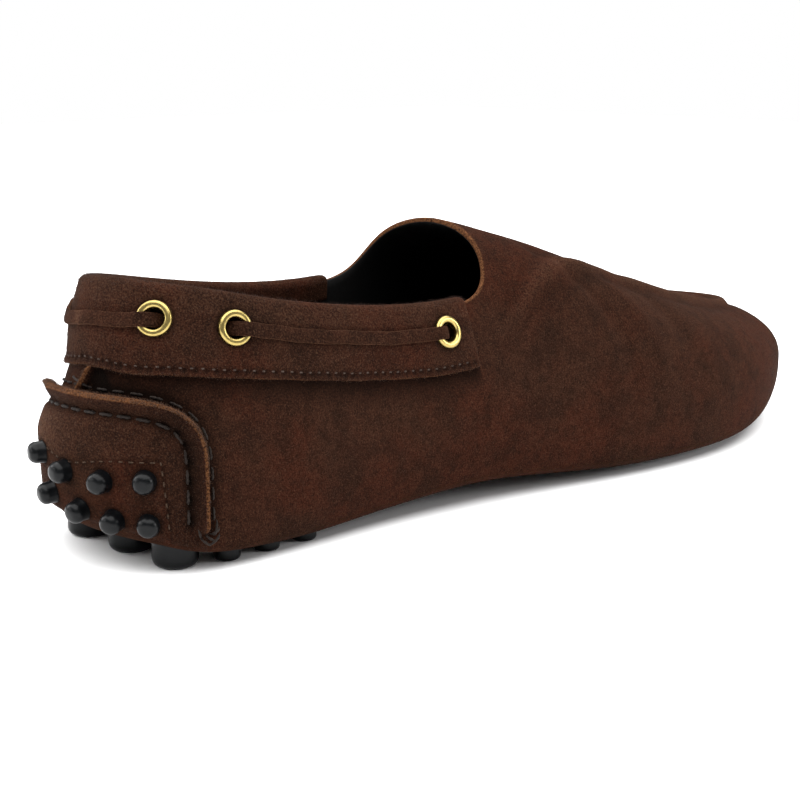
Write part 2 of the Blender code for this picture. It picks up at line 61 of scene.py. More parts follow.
# %% Sections of the last
SECTION_FIELDS = (
    "along", "outer", "inner", "bottom", "rise",
    "top_half", "top_along", "top_height", "dome", "middle",
)
SECTIONS = np.array((
    (0.0, 0.0, 0.0, 9.0, 20.0, 0.0, 11.5, 67.0, 0.0, 0.0),
    (5.0, 17.5, 17.5, 7.6, 21.0, 12.2, 14.5, 66.6, 0.0, 0.0),
    (18.0, 28.5, 28.5, 4.9, 22.0, 21.8, 24.5, 64.9, 0.0, 0.0),
    (42.0, 33.5, 33.0, 2.5, 22.0, 26.5, 45.0, 60.4, 0.0, 0.0),
    (72.0, 34.5, 31.5, 3.6, 21.0, 28.0, 73.0, 56.0, 0.0, 0.0),
    (100.0, 37.0, 30.0, 5.4, 20.0, 28.5, 100.0, 54.6, 0.0, 0.0),
    (118.0, 39.5, 30.8, 5.4, 19.0, 26.8, 115.0, 58.2, 0.15, 0.0),
    (135.0, 42.5, 33.5, 4.2, 18.0, 20.5, 120.5, 67.4, 0.5, 0.0),
    (152.0, 45.8, 37.5, 3.0, 17.5, 10.5, 123.0, 72.8, 0.85, -0.5),
    (168.0, 48.4, 41.5, 2.5, 17.0, 0.0, 124.0, 74.2, 1.0, -1.0),
    (188.0, 50.0, 45.2, 2.5, 16.5, 0.0, 146.0, 67.5, 1.0, -2.0),
    (210.0, 48.5, 46.3, 2.5, 16.0, 0.0, 172.0, 58.6, 1.0, -3.0),
    (232.0, 42.5, 44.2, 3.6, 15.0, 0.0, 196.0, 51.0, 1.0, -4.0),
    (252.0, 33.0, 39.5, 6.2, 13.5, 0.0, 217.0, 45.4, 1.0, -5.0),
    (268.0, 20.5, 30.5, 9.3, 12.0, 0.0, 233.0, 41.8, 1.0, -5.5),
    (280.0, -5.5, 5.5, 11.6, 11.0, 0.0, 245.0, 39.6, 1.0, -5.5),
))
print("sections of the last:", len(SECTIONS))

# %% [markdown]
# A closed spline through each column makes the sections into one smooth form. The parameter u
# counts the sections round the shoe: 0 at the heel's back, 15 at the toe, then back along the
# inner side to 30. Straight lines between the sections would show as folds in the suede.

# %% Splines round the last
PEAK_SECTION = 9
INNER_RIM_DROP = (0.0, 1.0, 0.9, 0.2, 0.0, 0.0, 0.0, 0.0, 0.0, 0.0)
TURN_COUNT = 2 * (len(SECTIONS) - 1)


def field(name):
    """One column of the table of sections."""
    return SECTIONS[:, SECTION_FIELDS.index(name)]


def there_and_back(values, sign=1.0):
    """Values along the outer side, then back along the inner side with a sign."""
    return np.append(values, sign * values[-2:0:-1])


def spline_bends(values):
    """Second derivatives of the closed cubic spline through evenly spaced values."""
    identity = np.eye(len(values))
    matrix = 4.0 * identity + np.roll(identity, 1, 1) + np.roll(identity, -1, 1)
    change = np.roll(values, 1) - 2.0 * values + np.roll(values, -1)
    return np.linalg.solve(matrix, 6.0 * change)


def closed_curves():
    """Closed splines round the shoe, round the opening's rim and along the ridge and back."""
    rim = slice(0, PEAK_SECTION + 1)
    ridge = slice(PEAK_SECTION, None)
    curves = {"x": np.append(field("outer"), -field("inner")[-2:0:-1])}
    for name in ("along", "bottom", "rise", "dome", "middle"):
        curves[name] = there_and_back(field(name))
    curves["rim_half"] = there_and_back(field("top_half")[rim], -1.0)
    for name in ("top_along", "top_height"):
        curves["rim_" + name] = there_and_back(field(name)[rim])
        curves["ridge_" + name] = there_and_back(field(name)[ridge])
    curves["rim_top_height"][PEAK_SECTION + 1:] -= INNER_RIM_DROP[-2:0:-1]
    return {name: (values, spline_bends(values)) for name, values in curves.items()}


CURVES = closed_curves()


def around(name, u):
    """A closed spline at u: the straight line between two knots plus its cubic bends."""
    values, bends = CURVES[name]
    start = np.floor(u).astype(int)
    t = u - start
    low = start % len(values)
    high = (start + 1) % len(values)
    straight = (1 - t) * values[low] + t * values[high]
    return straight + ((1 - t) ** 3 - (1 - t)) * bends[low] / 6 + (t**3 - t) * bends[high] / 6


def top_point(u):
    """Where a section ends: on the rim of the opening, or past the peak on the vamp's ridge."""
    wrapped = u % TURN_COUNT
    on_ridge = (wrapped >= PEAK_SECTION) & (wrapped <= TURN_COUNT - PEAK_SECTION)
    rim = np.where(wrapped > PEAK_SECTION, wrapped - TURN_COUNT, wrapped)
    ridge = wrapped - PEAK_SECTION
    x = around("middle", u) + np.where(on_ridge, 0.0, around("rim_half", rim))
    y = np.where(on_ridge, around("ridge_top_along", ridge), around("rim_top_along", rim))
    z = np.where(on_ridge, around("ridge_top_height", ridge), around("rim_top_height", rim))
    return x, y, z


STATIONS = np.linspace(0.0, TURN_COUNT / 2, 400)


def bottom_at(along):
    """Height of the bottom at a place along the shoe."""
    return np.interp(along, around("along", STATIONS), around("bottom", STATIONS))


def ridge_slope(along):
    """Slope of the vamp's ridge line at a place along the shoe."""
    line = field("top_along")[PEAK_SECTION:]
    return np.interp(along, line, np.gradient(field("top_height")[PEAK_SECTION:], line))


print("closed splines:", len(CURVES))

# %% [markdown]
# The upper's outside is one surface of two parameters, u round the shoe and v up it. The other
# soft pieces lie on it: each is the same surface moved outwards by a distance, so no piece has
# to be fitted to another by hand.

# %% The upper's face
EDGE_TURN = 9.0
EDGE_FULLNESS = 0.62
MARGIN = 4.5
LEAN_POWER = 1.15


def outline(u, inset):
    """The plan outline moved inwards, square to its own run."""
    step = 0.01
    run_x = around("x", u + step) - around("x", u - step)
    run_y = around("along", u + step) - around("along", u - step)
    run = np.hypot(run_x, run_y)
    return around("x", u) - run_y / run * inset, around("along", u) + run_x / run * inset


def surface(u, v):
    """The upper's face: v -2 to -1 is the flat margin, to 0 a turned edge, to 1 the wall.

    The turned edge is a quarter of a full oval. The wall leans from the widest line to the top
    point, straight where dome is 0 and as a quarter of an oval where it is 1."""
    u, v = np.broadcast_arrays(np.asarray(u, float), np.asarray(v, float))
    dome = np.clip(around("dome", u), 0.0, 1.0)
    top_x, top_y, top_z = top_point(u)
    wide = around("rise", u)
    turn = np.clip(v + 1.0, 0.0, 1.0) * math.pi / 2
    turned_in = 1 - np.sin(turn) ** EDGE_FULLNESS
    turned_up = 1 - np.abs(np.cos(turn)) ** EDGE_FULLNESS
    low_x, low_y = outline(u, EDGE_TURN * turned_in + MARGIN * np.clip(-1.0 - v, 0.0, 1.0))
    climb = np.clip(v, 0.0, 1.0)
    arc = climb * math.pi / 2
    lean = (1 - dome) * climb**LEAN_POWER + dome * (1 - np.cos(arc))
    rise = (1 - dome) * climb + dome * np.sin(arc)
    run_up = top_y - around("along", u)
    ridge = dome * (math.pi / 2) * climb**2 * (climb - 1) * run_up * ridge_slope(top_y)
    bottom = bottom_at(low_y)
    z = bottom + wide * turned_up + (top_z - bottom - wide) * rise + ridge
    return np.stack((low_x + (top_x - around("x", u)) * lean, low_y + run_up * lean, z), axis=-1)


def frame_at(u, v):
    """Outward normal and upward tangent of the upper's face."""
    step = 0.004
    u, v = np.broadcast_arrays(np.asarray(u, float), np.asarray(v, float))
    inside = np.minimum(v, 1.0 - step)
    along = surface(u + step, inside) - surface(u - step, inside)
    upward = surface(u, np.minimum(v + step, 1.0)) - surface(u, np.maximum(v - step, -2.0))
    normal = np.cross(along, upward)
    normal /= np.linalg.norm(normal, axis=-1, keepdims=True)
    upward = upward / np.linalg.norm(upward, axis=-1, keepdims=True)
    return normal, upward


def wall_level(u, height):
    """The wall's v at a height over the floor, on a side that doesn't dome."""
    wide = around("bottom", u) + around("rise", u)
    climb = (height - wide) / (top_point(u)[2] - wide)
    below = np.clip((wide - height) / around("rise", u), 0.0, 1.0)
    turned = np.arccos(below ** (1 / EDGE_FULLNESS)) / (math.pi / 2) - 1
    return np.where(height >= wide, climb, turned)


print("height at the back", surface(np.zeros(1), 1.0)[0, 2].round(1), "mm")

# %% [markdown]
# The table counts from the heel's back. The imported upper's box says where that lies in the
# shared frame, so that the fine surfaces land on their solids.

# %% Place in the shared frame
low, high = (np.array(corner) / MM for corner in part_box("upper"))
outline_x = around("x", np.arange(TURN_COUNT * 3) / 3)
SHIFT = np.array((
    (low[0] + high[0] - outline_x.min() - outline_x.max()) / 2,
    low[1],
    0.0,
))
print("the last's heel stands at", SHIFT.round(2), "mm")

# %% [markdown]
# A few small tools make the rest short: a smooth step, a bell curve, the quads of a grid, and a
# mesh from arrays. A surface carries three painted marks for its material: where the nap is
# pale, rubbed in places and painted as lit in others; where it is darkened, mostly with painted
# shade; and where it is cut. They belong to its points, so they stay in place from wherever the
# shoe is seen.

# %% Tools for surfaces
MARKS = "marks"


def smooth(x):
    """A soft step from 0 to 1 while x goes from 0 to 1."""
    x = np.clip(x, 0.0, 1.0)
    return x * x * (3 - 2 * x)


def bump(x, centre, width):
    """A soft hump of height 1 at the centre, the bell curve of x."""
    return np.exp(-(((x - centre) / width) ** 2))


def grid_quads(rows, columns, wrap_rows=False, wrap_columns=False):
    """Corner numbers of the quads of a grid that is stored row by row."""
    index = np.arange(rows * columns).reshape(rows, columns)
    if wrap_rows:
        index = np.concatenate((index, index[:1]))
    if wrap_columns:
        index = np.concatenate((index, index[:, :1]), axis=1)
    corners = (index[:-1, :-1], index[:-1, 1:], index[1:, 1:], index[1:, :-1])
    return np.stack(corners, axis=-1).reshape(-1, 4)


def marks_of(shape, pale=0.0, dark=0.0, cut=0.0):
    """The three painted marks of a surface, each between 0 and 1."""
    layers = [np.clip(np.broadcast_to(layer, shape), 0.0, 1.0) for layer in (pale, dark, cut)]
    return np.stack(layers + [np.ones(shape)], axis=-1)


def put_mesh(name, points, quads, materials, marks=None, slots=None, weld=0.01):
    """A smooth mesh from points in the last's millimetres: doubles are merged, open ends closed
    and all faces turned outwards."""
    points = np.asarray(points, float).reshape(-1, 3)
    used, numbers = np.unique(quads, return_inverse=True)
    mesh = bpy.data.meshes.new(name)
    corners = numbers.reshape(quads.shape).tolist()
    mesh.from_pydata(((points[used] + SHIFT) * MM).tolist(), [], corners)
    for material in materials:
        mesh.materials.append(material)
    if slots is not None:
        mesh.polygons.foreach_set("material_index", np.asarray(slots, np.int32))
    if marks is not None:
        layer = mesh.attributes.new(MARKS, "FLOAT_COLOR", "POINT")
        layer.data.foreach_set("color", np.asarray(marks, float).reshape(-1, 4)[used].ravel())
    shape = bmesh.new()
    shape.from_mesh(mesh)
    bmesh.ops.remove_doubles(shape, verts=shape.verts, dist=weld * MM)
    bmesh.ops.dissolve_degenerate(shape, dist=weld * MM / 4, edges=shape.edges)
    bmesh.ops.holes_fill(shape, edges=shape.edges[:])
    bmesh.ops.recalc_face_normals(shape, faces=shape.faces)
    shape.to_mesh(mesh)
    shape.free()
    mesh.shade_smooth()
    piece = bpy.data.objects.new(name, mesh)
    bpy.context.collection.objects.link(piece)
    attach(piece, "root")
    print(name, len(mesh.polygons), "faces")
    return piece


def unit(vectors):
    """Vectors of length 1."""
    return vectors / np.maximum(np.linalg.norm(vectors, axis=-1, keepdims=True), 1e-9)


print("quads between 3 by 4 points:", len(grid_quads(3, 4)))

# %% [markdown]
# Soft leather never keeps the last's even form: it sags where nothing holds it and creases where
# the foot bends. Each row of the next table is one soft trough or swelling: where it is, how far
# it reaches, how it slants and how high it stands. Every piece that lies on the upper follows the
# same field, so nothing floats or sinks.

# %% Creases and swellings
# centre in u and v, reach in u and v, slant, height in mm
CREASES = (
    (-0.2, 0.52, 1.1, 0.22, 0.0, -0.8),
    (-1.15, 0.52, 0.75, 0.26, 0.0, -1.5),
    (2.05, -0.62, 0.75, 0.30, 0.0, 3.4),
    (-2.05, -0.62, 0.75, 0.30, 0.0, 3.4),
    (2.75, 0.35, 0.30, 0.30, 0.0, -0.5),
    (3.5, 0.55, 0.45, 0.25, 0.3, 0.5),
    (4.4, 0.45, 0.35, 0.30, -0.2, -0.5),
    (3.3, -0.25, 0.50, 0.22, 0.0, 0.6),
    (-2.9, 0.40, 0.35, 0.30, 0.0, -0.5),
    (-3.8, 0.50, 0.45, 0.25, 0.3, 0.5),
    (8.6, 0.42, 0.22, 0.30, 0.5, -0.9),
    (9.3, 0.40, 0.20, 0.32, 0.5, 0.7),
    (10.0, 0.40, 0.22, 0.30, 0.5, -0.8),
    (-8.5, 0.42, 0.22, 0.30, -0.5, -0.9),
    (-9.2, 0.40, 0.20, 0.32, -0.5, 0.7),
    (-10.0, 0.40, 0.22, 0.30, -0.5, -0.8),
    (11.0, 0.85, 0.60, 0.10, 0.0, -0.7),
    (-11.0, 0.85, 0.60, 0.10, 0.0, -0.7),
)


def signed(u):
    """The section parameter counted from the heel's back, negative on the inner side."""
    return (u + TURN_COUNT / 2) % TURN_COUNT - TURN_COUNT / 2


def crease_field(u, v):
    """Sum of soft ovals: each row of the table is a slanted bell in u and v of a set height.

    It fades to nothing at the flat margin and at the top edge."""
    total = np.zeros(np.broadcast(u, v).shape)
    for centre_u, centre_v, reach_u, reach_v, slant, out in CREASES:
        du = (signed(u) - centre_u) / reach_u
        dv = (v - centre_v) / reach_v
        total = total + out * np.exp(-((du - slant * dv) ** 2) - dv**2)
    return total * smooth((v + 1) / 0.5) * smooth((1.02 - v) / 0.2)


def skin(u, v, out):
    """The upper's face moved outwards by a distance and by the creases."""
    u, v, out = np.broadcast_arrays(np.asarray(u, float), np.asarray(v, float), out)
    return surface(u, v) + frame_at(u, v)[0] * (out + crease_field(u, v))[..., None]


print("creases and swellings:", len(CREASES))

# %% [markdown]
# A finish is a small graph of shader nodes, and one function adds a node with its settings and
# links. Colours are written in sRGB, as on a paint card, and are turned into the linear light
# that a shader counts in.

# %% Tools for materials


def linear(code):
    """A linear colour from an sRGB hex value: a straight foot, then a power of 2.4."""
    parts = np.array([int(code[i:i + 2], 16) / 255 for i in (1, 3, 5)])
    parts = np.where(parts <= 0.04045, parts / 12.92, ((parts + 0.055) / 1.055) ** 2.4)
    return (*parts.tolist(), 1.0)


def add_node(tree, kind, inputs=(), **settings):
    """Add a node: settings are its properties; an input is a value or a (node, output) link."""
    node = tree.nodes.new(kind)
    for name, value in settings.items():
        setattr(node, name, value)
    for socket, value in dict(inputs).items():
        if isinstance(value, tuple) and isinstance(value[0], bpy.types.Node):
            tree.links.new(value[0].outputs[value[1]], node.inputs[socket])
        else:
            node.inputs[socket].default_value = value
    return node


def new_material(name, **sockets):
    """A Principled material with constant values on its sockets; gives it, its tree and shader."""
    material = bpy.data.materials.new(name)
    material.use_nodes = True
    shader = material.node_tree.nodes["Principled BSDF"]
    for socket, value in sockets.items():
        shader.inputs[socket.replace("_", " ")].default_value = value
    return material, material.node_tree, shader


print("middle grey in linear light:", round(linear("#808080")[0], 3))

# %% [markdown]
# Suede is the flesh side of leather, sanded until short fibres stand up. It has no gloss: the
# fibres scatter light, catch it at grazing angles and lie over each other in patches. So the
# shader is very rough and has a little sheen. Its browns are laid over each other with noise at
# five widths. The painted marks add nap that is rubbed pale, nap painted pale where light falls,
# cut edges, and painted shade in seams, hollows and holes and under the band. A photo of suede
# could be wrapped round instead, but it would stretch over the toe.

# %% Suede
SUEDE_DARK = "#0C0604"
SUEDE_BROWN = "#28160E"
SUEDE_RED = "#2E140B"
SUEDE_PALE = "#543C2E"
SUEDE_SHADE = "#050302"
CUT_EDGE = "#68442B"
CUT_EDGE_DARK = "#2C1A10"
# width in mm, detail and roughness of each noise
SUEDE_NOISES = {
    "patches": (26.0, 2.0, 0.55), "blotches": (9.0, 3.0, 0.55), "mottling": (2.4, 4.0, 0.6),
    "fibres": (0.45, 3.0, 0.65), "specks": (0.25, 1.0, 0.5),
}
NAP_RELIEF = 0.3  # mm


def suede(name, red, pale):
    """Napped suede: patches 26 and 9 mm wide, mottling 2.4 mm, fibres 0.45 and specks 0.25 mm.

    Real fibres are finer; they are drawn this coarse so that they still show in the picture."""
    material, tree, shader = new_material(
        name, Roughness=0.95, Specular_IOR_Level=0.03,
        Sheen_Weight=0.05, Sheen_Roughness=0.5, Sheen_Tint=linear("#96603F"),
    )
    place = (add_node(tree, "ShaderNodeTexCoord"), "Object")
    noise = {}
    for kind, (width, detail, rough) in SUEDE_NOISES.items():
        inputs = {"Vector": place, "Scale": 1 / (width * MM), "Detail": detail, "Roughness": rough}
        noise[kind] = (add_node(tree, "ShaderNodeTexNoise", inputs), 0)
    # noise, the levels where its layer starts and is full, the layer's share, and its colour
    layers = (
        ("patches", 0.40, 0.60, red, SUEDE_RED),
        ("blotches", 0.55, 0.35, 0.45, SUEDE_DARK),
        ("mottling", 0.55, 0.30, 0.5, SUEDE_DARK),
        ("fibres", 0.50, 0.32, 0.85, SUEDE_DARK),
        ("fibres", 0.52, 0.72, pale, SUEDE_PALE),
        ("specks", 0.60, 0.74, 0.4, SUEDE_PALE),
    )
    colour = linear(SUEDE_BROWN)
    for kind, start, full, share, over in layers:
        shown = add_node(tree, "ShaderNodeMapRange", {0: noise[kind], 1: start, 2: full, 4: share})
        inputs = {0: (shown, 0), 6: colour, 7: linear(over)}
        colour = (add_node(tree, "ShaderNodeMix", inputs, data_type="RGBA"), 2)
    # the marks' red, green and blue are pale nap (rubbed in places, painted as lit in others),
    # painted shade and the cut edge
    marks = add_node(tree, "ShaderNodeAttribute", attribute_name=MARKS)
    mark = add_node(tree, "ShaderNodeSeparateColor", {0: (marks, "Color")})
    tips = add_node(tree, "ShaderNodeMapRange", {0: noise["fibres"], 1: 0.35, 2: 0.62})
    pale_nap = add_node(tree, "ShaderNodeMath", {0: (mark, 0), 1: (tips, 0)}, operation="MULTIPLY")
    ends = add_node(tree, "ShaderNodeMapRange", {0: noise["fibres"], 1: 0.40, 2: 0.58})
    inputs = {0: (ends, 0), 6: linear(CUT_EDGE_DARK), 7: linear(CUT_EDGE)}
    edge = add_node(tree, "ShaderNodeMix", inputs, data_type="RGBA")
    painted = (
        ((pale_nap, 0), linear(SUEDE_PALE)), ((mark, 2), (edge, 2)), ((mark, 1), linear(SUEDE_SHADE)),
    )
    for share, over in painted:
        inputs = {0: share, 6: colour, 7: over}
        colour = (add_node(tree, "ShaderNodeMix", inputs, data_type="RGBA"), 2)
    tree.links.new(colour[0].outputs[2], shader.inputs["Base Color"])
    relief = {"Height": noise["mottling"], "Distance": NAP_RELIEF * MM, "Strength": 0.5}
    soft = add_node(tree, "ShaderNodeBump", relief)
    relief = {"Height": noise["fibres"], "Distance": NAP_RELIEF * MM, "Strength": 0.9}
    nap = add_node(tree, "ShaderNodeBump", relief | {"Normal": (soft, 0)})
    tree.links.new(nap.outputs[0], shader.inputs["Normal"])
    return material


upper_suede = suede("suede of the upper", red=0.85, pale=0.25)
collar_suede = suede("suede of the collar band", red=0.8, pale=0.35)
patch_suede = suede("suede of the heel patch", red=0.35, pale=0.4)
panel_suede = suede("suede between the pebbles", red=1.0, pale=0.25)
lace_suede = suede("suede of the lace", red=0.2, pale=0.35)
print("nodes in a suede finish:", len(upper_suede.node_tree.nodes))

# %% [markdown]
# The other finishes are plainer: smooth black lining leather, black moulded rubber, satin brass
# that was rolled over in a press, and waxed thread twisted from two plies. Each has two close
# tones in fine noise, because one flat colour would look like paint.

# %% Lining, rubber, brass and thread


def plain_finish(name, low, high, size_mm, bump_mm, **sockets):
    """A finish of two close colours in fine noise of one size, with a bump from the same noise."""
    material, tree, shader = new_material(name, **sockets)
    place = (add_node(tree, "ShaderNodeTexCoord"), "Object")
    inputs = {"Vector": place, "Scale": 1 / (size_mm * MM), "Detail": 4.0, "Roughness": 0.6}
    noise = (add_node(tree, "ShaderNodeTexNoise", inputs), 0)
    share = add_node(tree, "ShaderNodeMapRange", {0: noise, 1: 0.35, 2: 0.65})
    inputs = {0: (share, 0), 6: linear(low), 7: linear(high)}
    colour = add_node(tree, "ShaderNodeMix", inputs, data_type="RGBA")
    tree.links.new(colour.outputs[2], shader.inputs["Base Color"])
    inputs = {"Height": noise, "Distance": bump_mm * MM, "Strength": 0.6}
    relief = add_node(tree, "ShaderNodeBump", inputs)
    tree.links.new(relief.outputs[0], shader.inputs["Normal"])
    return material


# dull black, a little lighter where its grain stands up
lining = plain_finish("black lining leather", "#060505", "#0B0A0A", 1.2, 0.08,
                      Roughness=0.7, Specular_IOR_Level=0.15)
# near black with one soft highlight, as it leaves a smooth mould
rubber = plain_finish("black moulded rubber", "#040506", "#07080A", 0.9, 0.02,
                      Roughness=0.32, Specular_IOR_Level=0.14)
# a warm metal with slightly blurred reflections
brass = plain_finish("satin rolled brass", "#96834C", "#AA975E", 0.5, 0.012,
                     Metallic=1.0, Roughness=0.28)
# matt threads in two tones, from plies that lie over each other
thread = plain_finish("waxed grey thread", "#15110F", "#2C2521", 0.5, 0.06,
                      Roughness=0.65, Specular_IOR_Level=0.1)
fine_thread = plain_finish("fine tan thread", "#231A15", "#46372C", 0.4, 0.04,
                           Roughness=0.8, Specular_IOR_Level=0.06)
pale_thread = plain_finish("fine grey thread", "#2A221E", "#4B3F39", 0.4, 0.04,
                           Roughness=0.8, Specular_IOR_Level=0.06)
print("nodes in a plain finish:", len(rubber.node_tree.nodes))

# %% [markdown]
# The photograph looks down a little at the heel's outer corner from close by. The camera's
# place was worked out from the pebbles on the floor, the eyelets and the collar's edge. It stays
# there, so heel and collar are seen at the same angle, but it is turned towards the toe and has
# a shorter lens, because the photograph's edge cuts the shoe and the picture shows it whole.

# %% Camera
CAMERA_TURN = math.radians(53.675)
CAMERA_REACH = 408.95
CAMERA_HEIGHT = 125.96
CAMERA_YAW = math.radians(-7.8)
CAMERA_PITCH = math.radians(12.6)
LENS_PIXELS = 1650.0
PICTURE_PIXELS = 800
SENSOR = 36.0
AIM_ALONG = 33.0

lens = bpy.data.cameras.new("camera")
lens.sensor_width = SENSOR
lens.lens = LENS_PIXELS * SENSOR / PICTURE_PIXELS
lens.clip_start = 0.01
camera = bpy.data.objects.new("camera", lens)
bpy.context.collection.objects.link(camera)
eye = np.array((
    CAMERA_REACH * math.sin(CAMERA_TURN),
    AIM_ALONG - CAMERA_REACH * math.cos(CAMERA_TURN),
    CAMERA_HEIGHT,
))
camera.location = (eye + SHIFT) * MM
camera.rotation_euler = (math.pi / 2 - CAMERA_PITCH, 0.0, CAMERA_TURN + CAMERA_YAW)
bpy.context.scene.camera = camera
bpy.context.scene.view_settings.view_transform = "Standard"
print("lens", round(lens.lens, 1), "mm")

# %% [markdown]
# The shoe stands on white paper that reaches past the picture. Behind it the backdrop is white
# too where the camera sees it, but it shines less than it looks, because a room that bright
# would wash out the suede.

# %% Floor and backdrop
FLOOR_HALF = 1.7
AMBIENT = 0.3
floor_mesh = bpy.data.meshes.new("floor")
floor_mesh.from_pydata(
    [(x * FLOOR_HALF, y * FLOOR_HALF, 0.0) for x, y in ((-1, -1), (1, -1), (1, 1), (-1, 1))],
    [], [(0, 1, 2, 3)],
)
floor = bpy.data.objects.new("floor", floor_mesh)
floor_mesh.materials.append(
    new_material("white paper", Base_Color=linear("#FCFCFC"), Roughness=0.9)[0])
bpy.context.collection.objects.link(floor)

world = bpy.data.worlds.new("studio")
world.use_nodes = True
backdrop = world.node_tree.nodes["Background"]
seen_first = add_node(world.node_tree, "ShaderNodeLightPath")
glow = add_node(world.node_tree, "ShaderNodeMapRange",
                {0: (seen_first, "Is Camera Ray"), 3: AMBIENT})
backdrop.inputs["Color"].default_value = linear("#FFFFFF")
world.node_tree.links.new(glow.outputs[0], backdrop.inputs["Strength"])
bpy.context.scene.world = world
print("floor", 2 * FLOOR_HALF, "m wide")

# %% [markdown]
# A wide ceiling of diffusers gives the soft shadow under the shoe. Three smaller, lower
# boxes draw the highlights on rubber and brass and rake across the nap of the suede.

# %% Light
HEEL_TARGET = (0.0, -0.1, 0.03)


def add_softbox(name, place, target, size, watts):
    """A square area light that faces a point; places are metres in the part's frame.

    It is tilted by the angle between straight down and the way to the point."""
    light = bpy.data.lights.new(name, "AREA")
    light.size = size
    light.energy = watts
    lamp = bpy.data.objects.new(name, light)
    bpy.context.collection.objects.link(lamp)
    ahead = unit(np.array(target) - np.array(place))
    lamp.location = place
    lamp.rotation_euler = (math.acos(-ahead[2]), 0.0, math.atan2(ahead[1], ahead[0]) - math.pi / 2)


add_softbox("ceiling of diffusers", (0.0, 0.0, 2.4), (0.0, 0.0, 0.0), 5.0, 340.0)
add_softbox("softbox at the left", (-1.3, -0.9, 0.7), HEEL_TARGET, 0.8, 13.0)
add_softbox("strip box at the left", (-0.5, -1.4, 0.45), HEEL_TARGET, 0.35, 3.5)
add_softbox("strip box at the right", (1.15, 0.9, 0.5), HEEL_TARGET, 0.4, 7.5)
print("lights:", len(bpy.data.lights))

# %% [markdown]
# The heel patch is sewn to the upper by hand: both edges are pinched outwards into a standing
# lip. The line of that seam is needed by the patch, the upper and the stitches, so it comes
# first: up one side, round a corner, across the back and down the other side.

# %% The sewn line round the heel
PATCH_END = 2.03
PATCH_CORNER = 4.2
PATCH_HEIGHT_BACK = 42.0
PATCH_HEIGHT_SIDE = 19.0
PATCH_LOW = -0.62
KNOT_HEIGHT = 11.0
SEAM_STEP = 0.4
INNER_FALL = 1.2
INNER_FALL_REACH = 1.2


def inner_fall(u):
    """How much lower the sewn edge lies on the inner side."""
    return INNER_FALL * smooth(-u / INNER_FALL_REACH)


def patch_edge(u):
    """Height of the sewn edge: level at the back, with rounded upper corners."""
    reach = np.minimum(np.abs(u) / PATCH_END, 1.0)
    corner = (1 - reach**PATCH_CORNER) ** (1 / PATCH_CORNER)
    return PATCH_HEIGHT_SIDE + (PATCH_HEIGHT_BACK - PATCH_HEIGHT_SIDE) * corner - inner_fall(u)


def sewn_line():
    """Section parameter and height of the seam from the inner knot over to the outer one."""
    turn = np.linspace(0.0, math.pi / 2, 300)
    corner_u = PATCH_END * np.cos(turn) ** (2 / PATCH_CORNER)
    corner_z = PATCH_HEIGHT_SIDE + (PATCH_HEIGHT_BACK - PATCH_HEIGHT_SIDE) * (
        np.sin(turn) ** (2 / PATCH_CORNER))
    side_z = np.linspace(KNOT_HEIGHT, PATCH_HEIGHT_SIDE, 40)[:-1]
    u = np.append(np.full_like(side_z, PATCH_END), corner_u)
    z = np.append(side_z, corner_z)
    u = np.append(-u, u[-2::-1])
    return u, np.append(z, z[-2::-1]) - inner_fall(u)


def lengths(points):
    """Length along a polyline up to each of its points, the sum of its steps."""
    return np.append(0.0, np.cumsum(np.linalg.norm(np.diff(points, axis=0), axis=1)))


def even_path(points, pitch):
    """Places along a polyline at even spacing, as numbers that index its points."""
    length = lengths(points)
    count = max(2, round(length[-1] / pitch))
    return np.interp(np.arange(count) * length[-1] / count, length, np.arange(len(points)))


def at(values, places):
    """Values between the rows of an array, at fractional row numbers."""
    columns = [np.interp(places, np.arange(len(values)), column) for column in values.T]
    return np.stack(columns, axis=-1)


seam_u, seam_z = sewn_line()
places = even_path(surface(seam_u, wall_level(seam_u, seam_z)), SEAM_STEP)
seam_uz = at(np.stack((seam_u, seam_z), axis=-1), places)
seam_v = wall_level(seam_uz[:, 0], seam_uz[:, 1])
seam_points = skin(seam_uz[:, 0], seam_v, 0.0)
seam_length = lengths(seam_points)


def to_seam(points):
    """Distance of each point to the sewn line, and the line's length up to the nearest place.

    The points are taken some thousands at a time, to keep the table of distances small."""
    flat = points.reshape(-1, 3)
    away = []
    along = []
    for part in np.array_split(flat, max(1, len(flat) // 4000)):
        apart = np.linalg.norm(part[:, None] - seam_points, axis=-1)
        away.append(apart.min(axis=1))
        along.append(seam_length[apart.argmin(axis=1)])
    shape = points.shape[:-1]
    return np.concatenate(away).reshape(shape), np.concatenate(along).reshape(shape)


print("sewn line", round(seam_length[-1], 1), "mm")

# %% [markdown]
# The upper is one piece of suede with a black lining, pulled over the last. It could be one sheet
# with a Solidify modifier, but its rim and its lining need their own finish. So its face, its cut
# rim at the tongue and its lining are one closed sheet: rows climb the outside, turn over the rim
# and go down the inside. First come the lines on it that other pieces share, and its grid.

# %% The upper's grid
COLLAR_END = 5 + 1 / 3
COLLAR_DEPTHS = (
    (-3.3, -2.7, -1.7, -1.0, 0.0, 1.0, 1.7, 2.7, 3.3),
    (16.6, 17.4, 19.0, 19.4, 18.6, 19.0, 18.5, 17.3, 16.6),
)


def collar_edge(u):
    """Height of the collar band's lower edge, hardly wavy as it was cut by hand."""
    depth = np.interp(u, *COLLAR_DEPTHS)
    return top_point(u)[2] - depth + 0.08 * np.sin(5.1 * u) + 0.06 * np.sin(13.0 * u + 1.0)


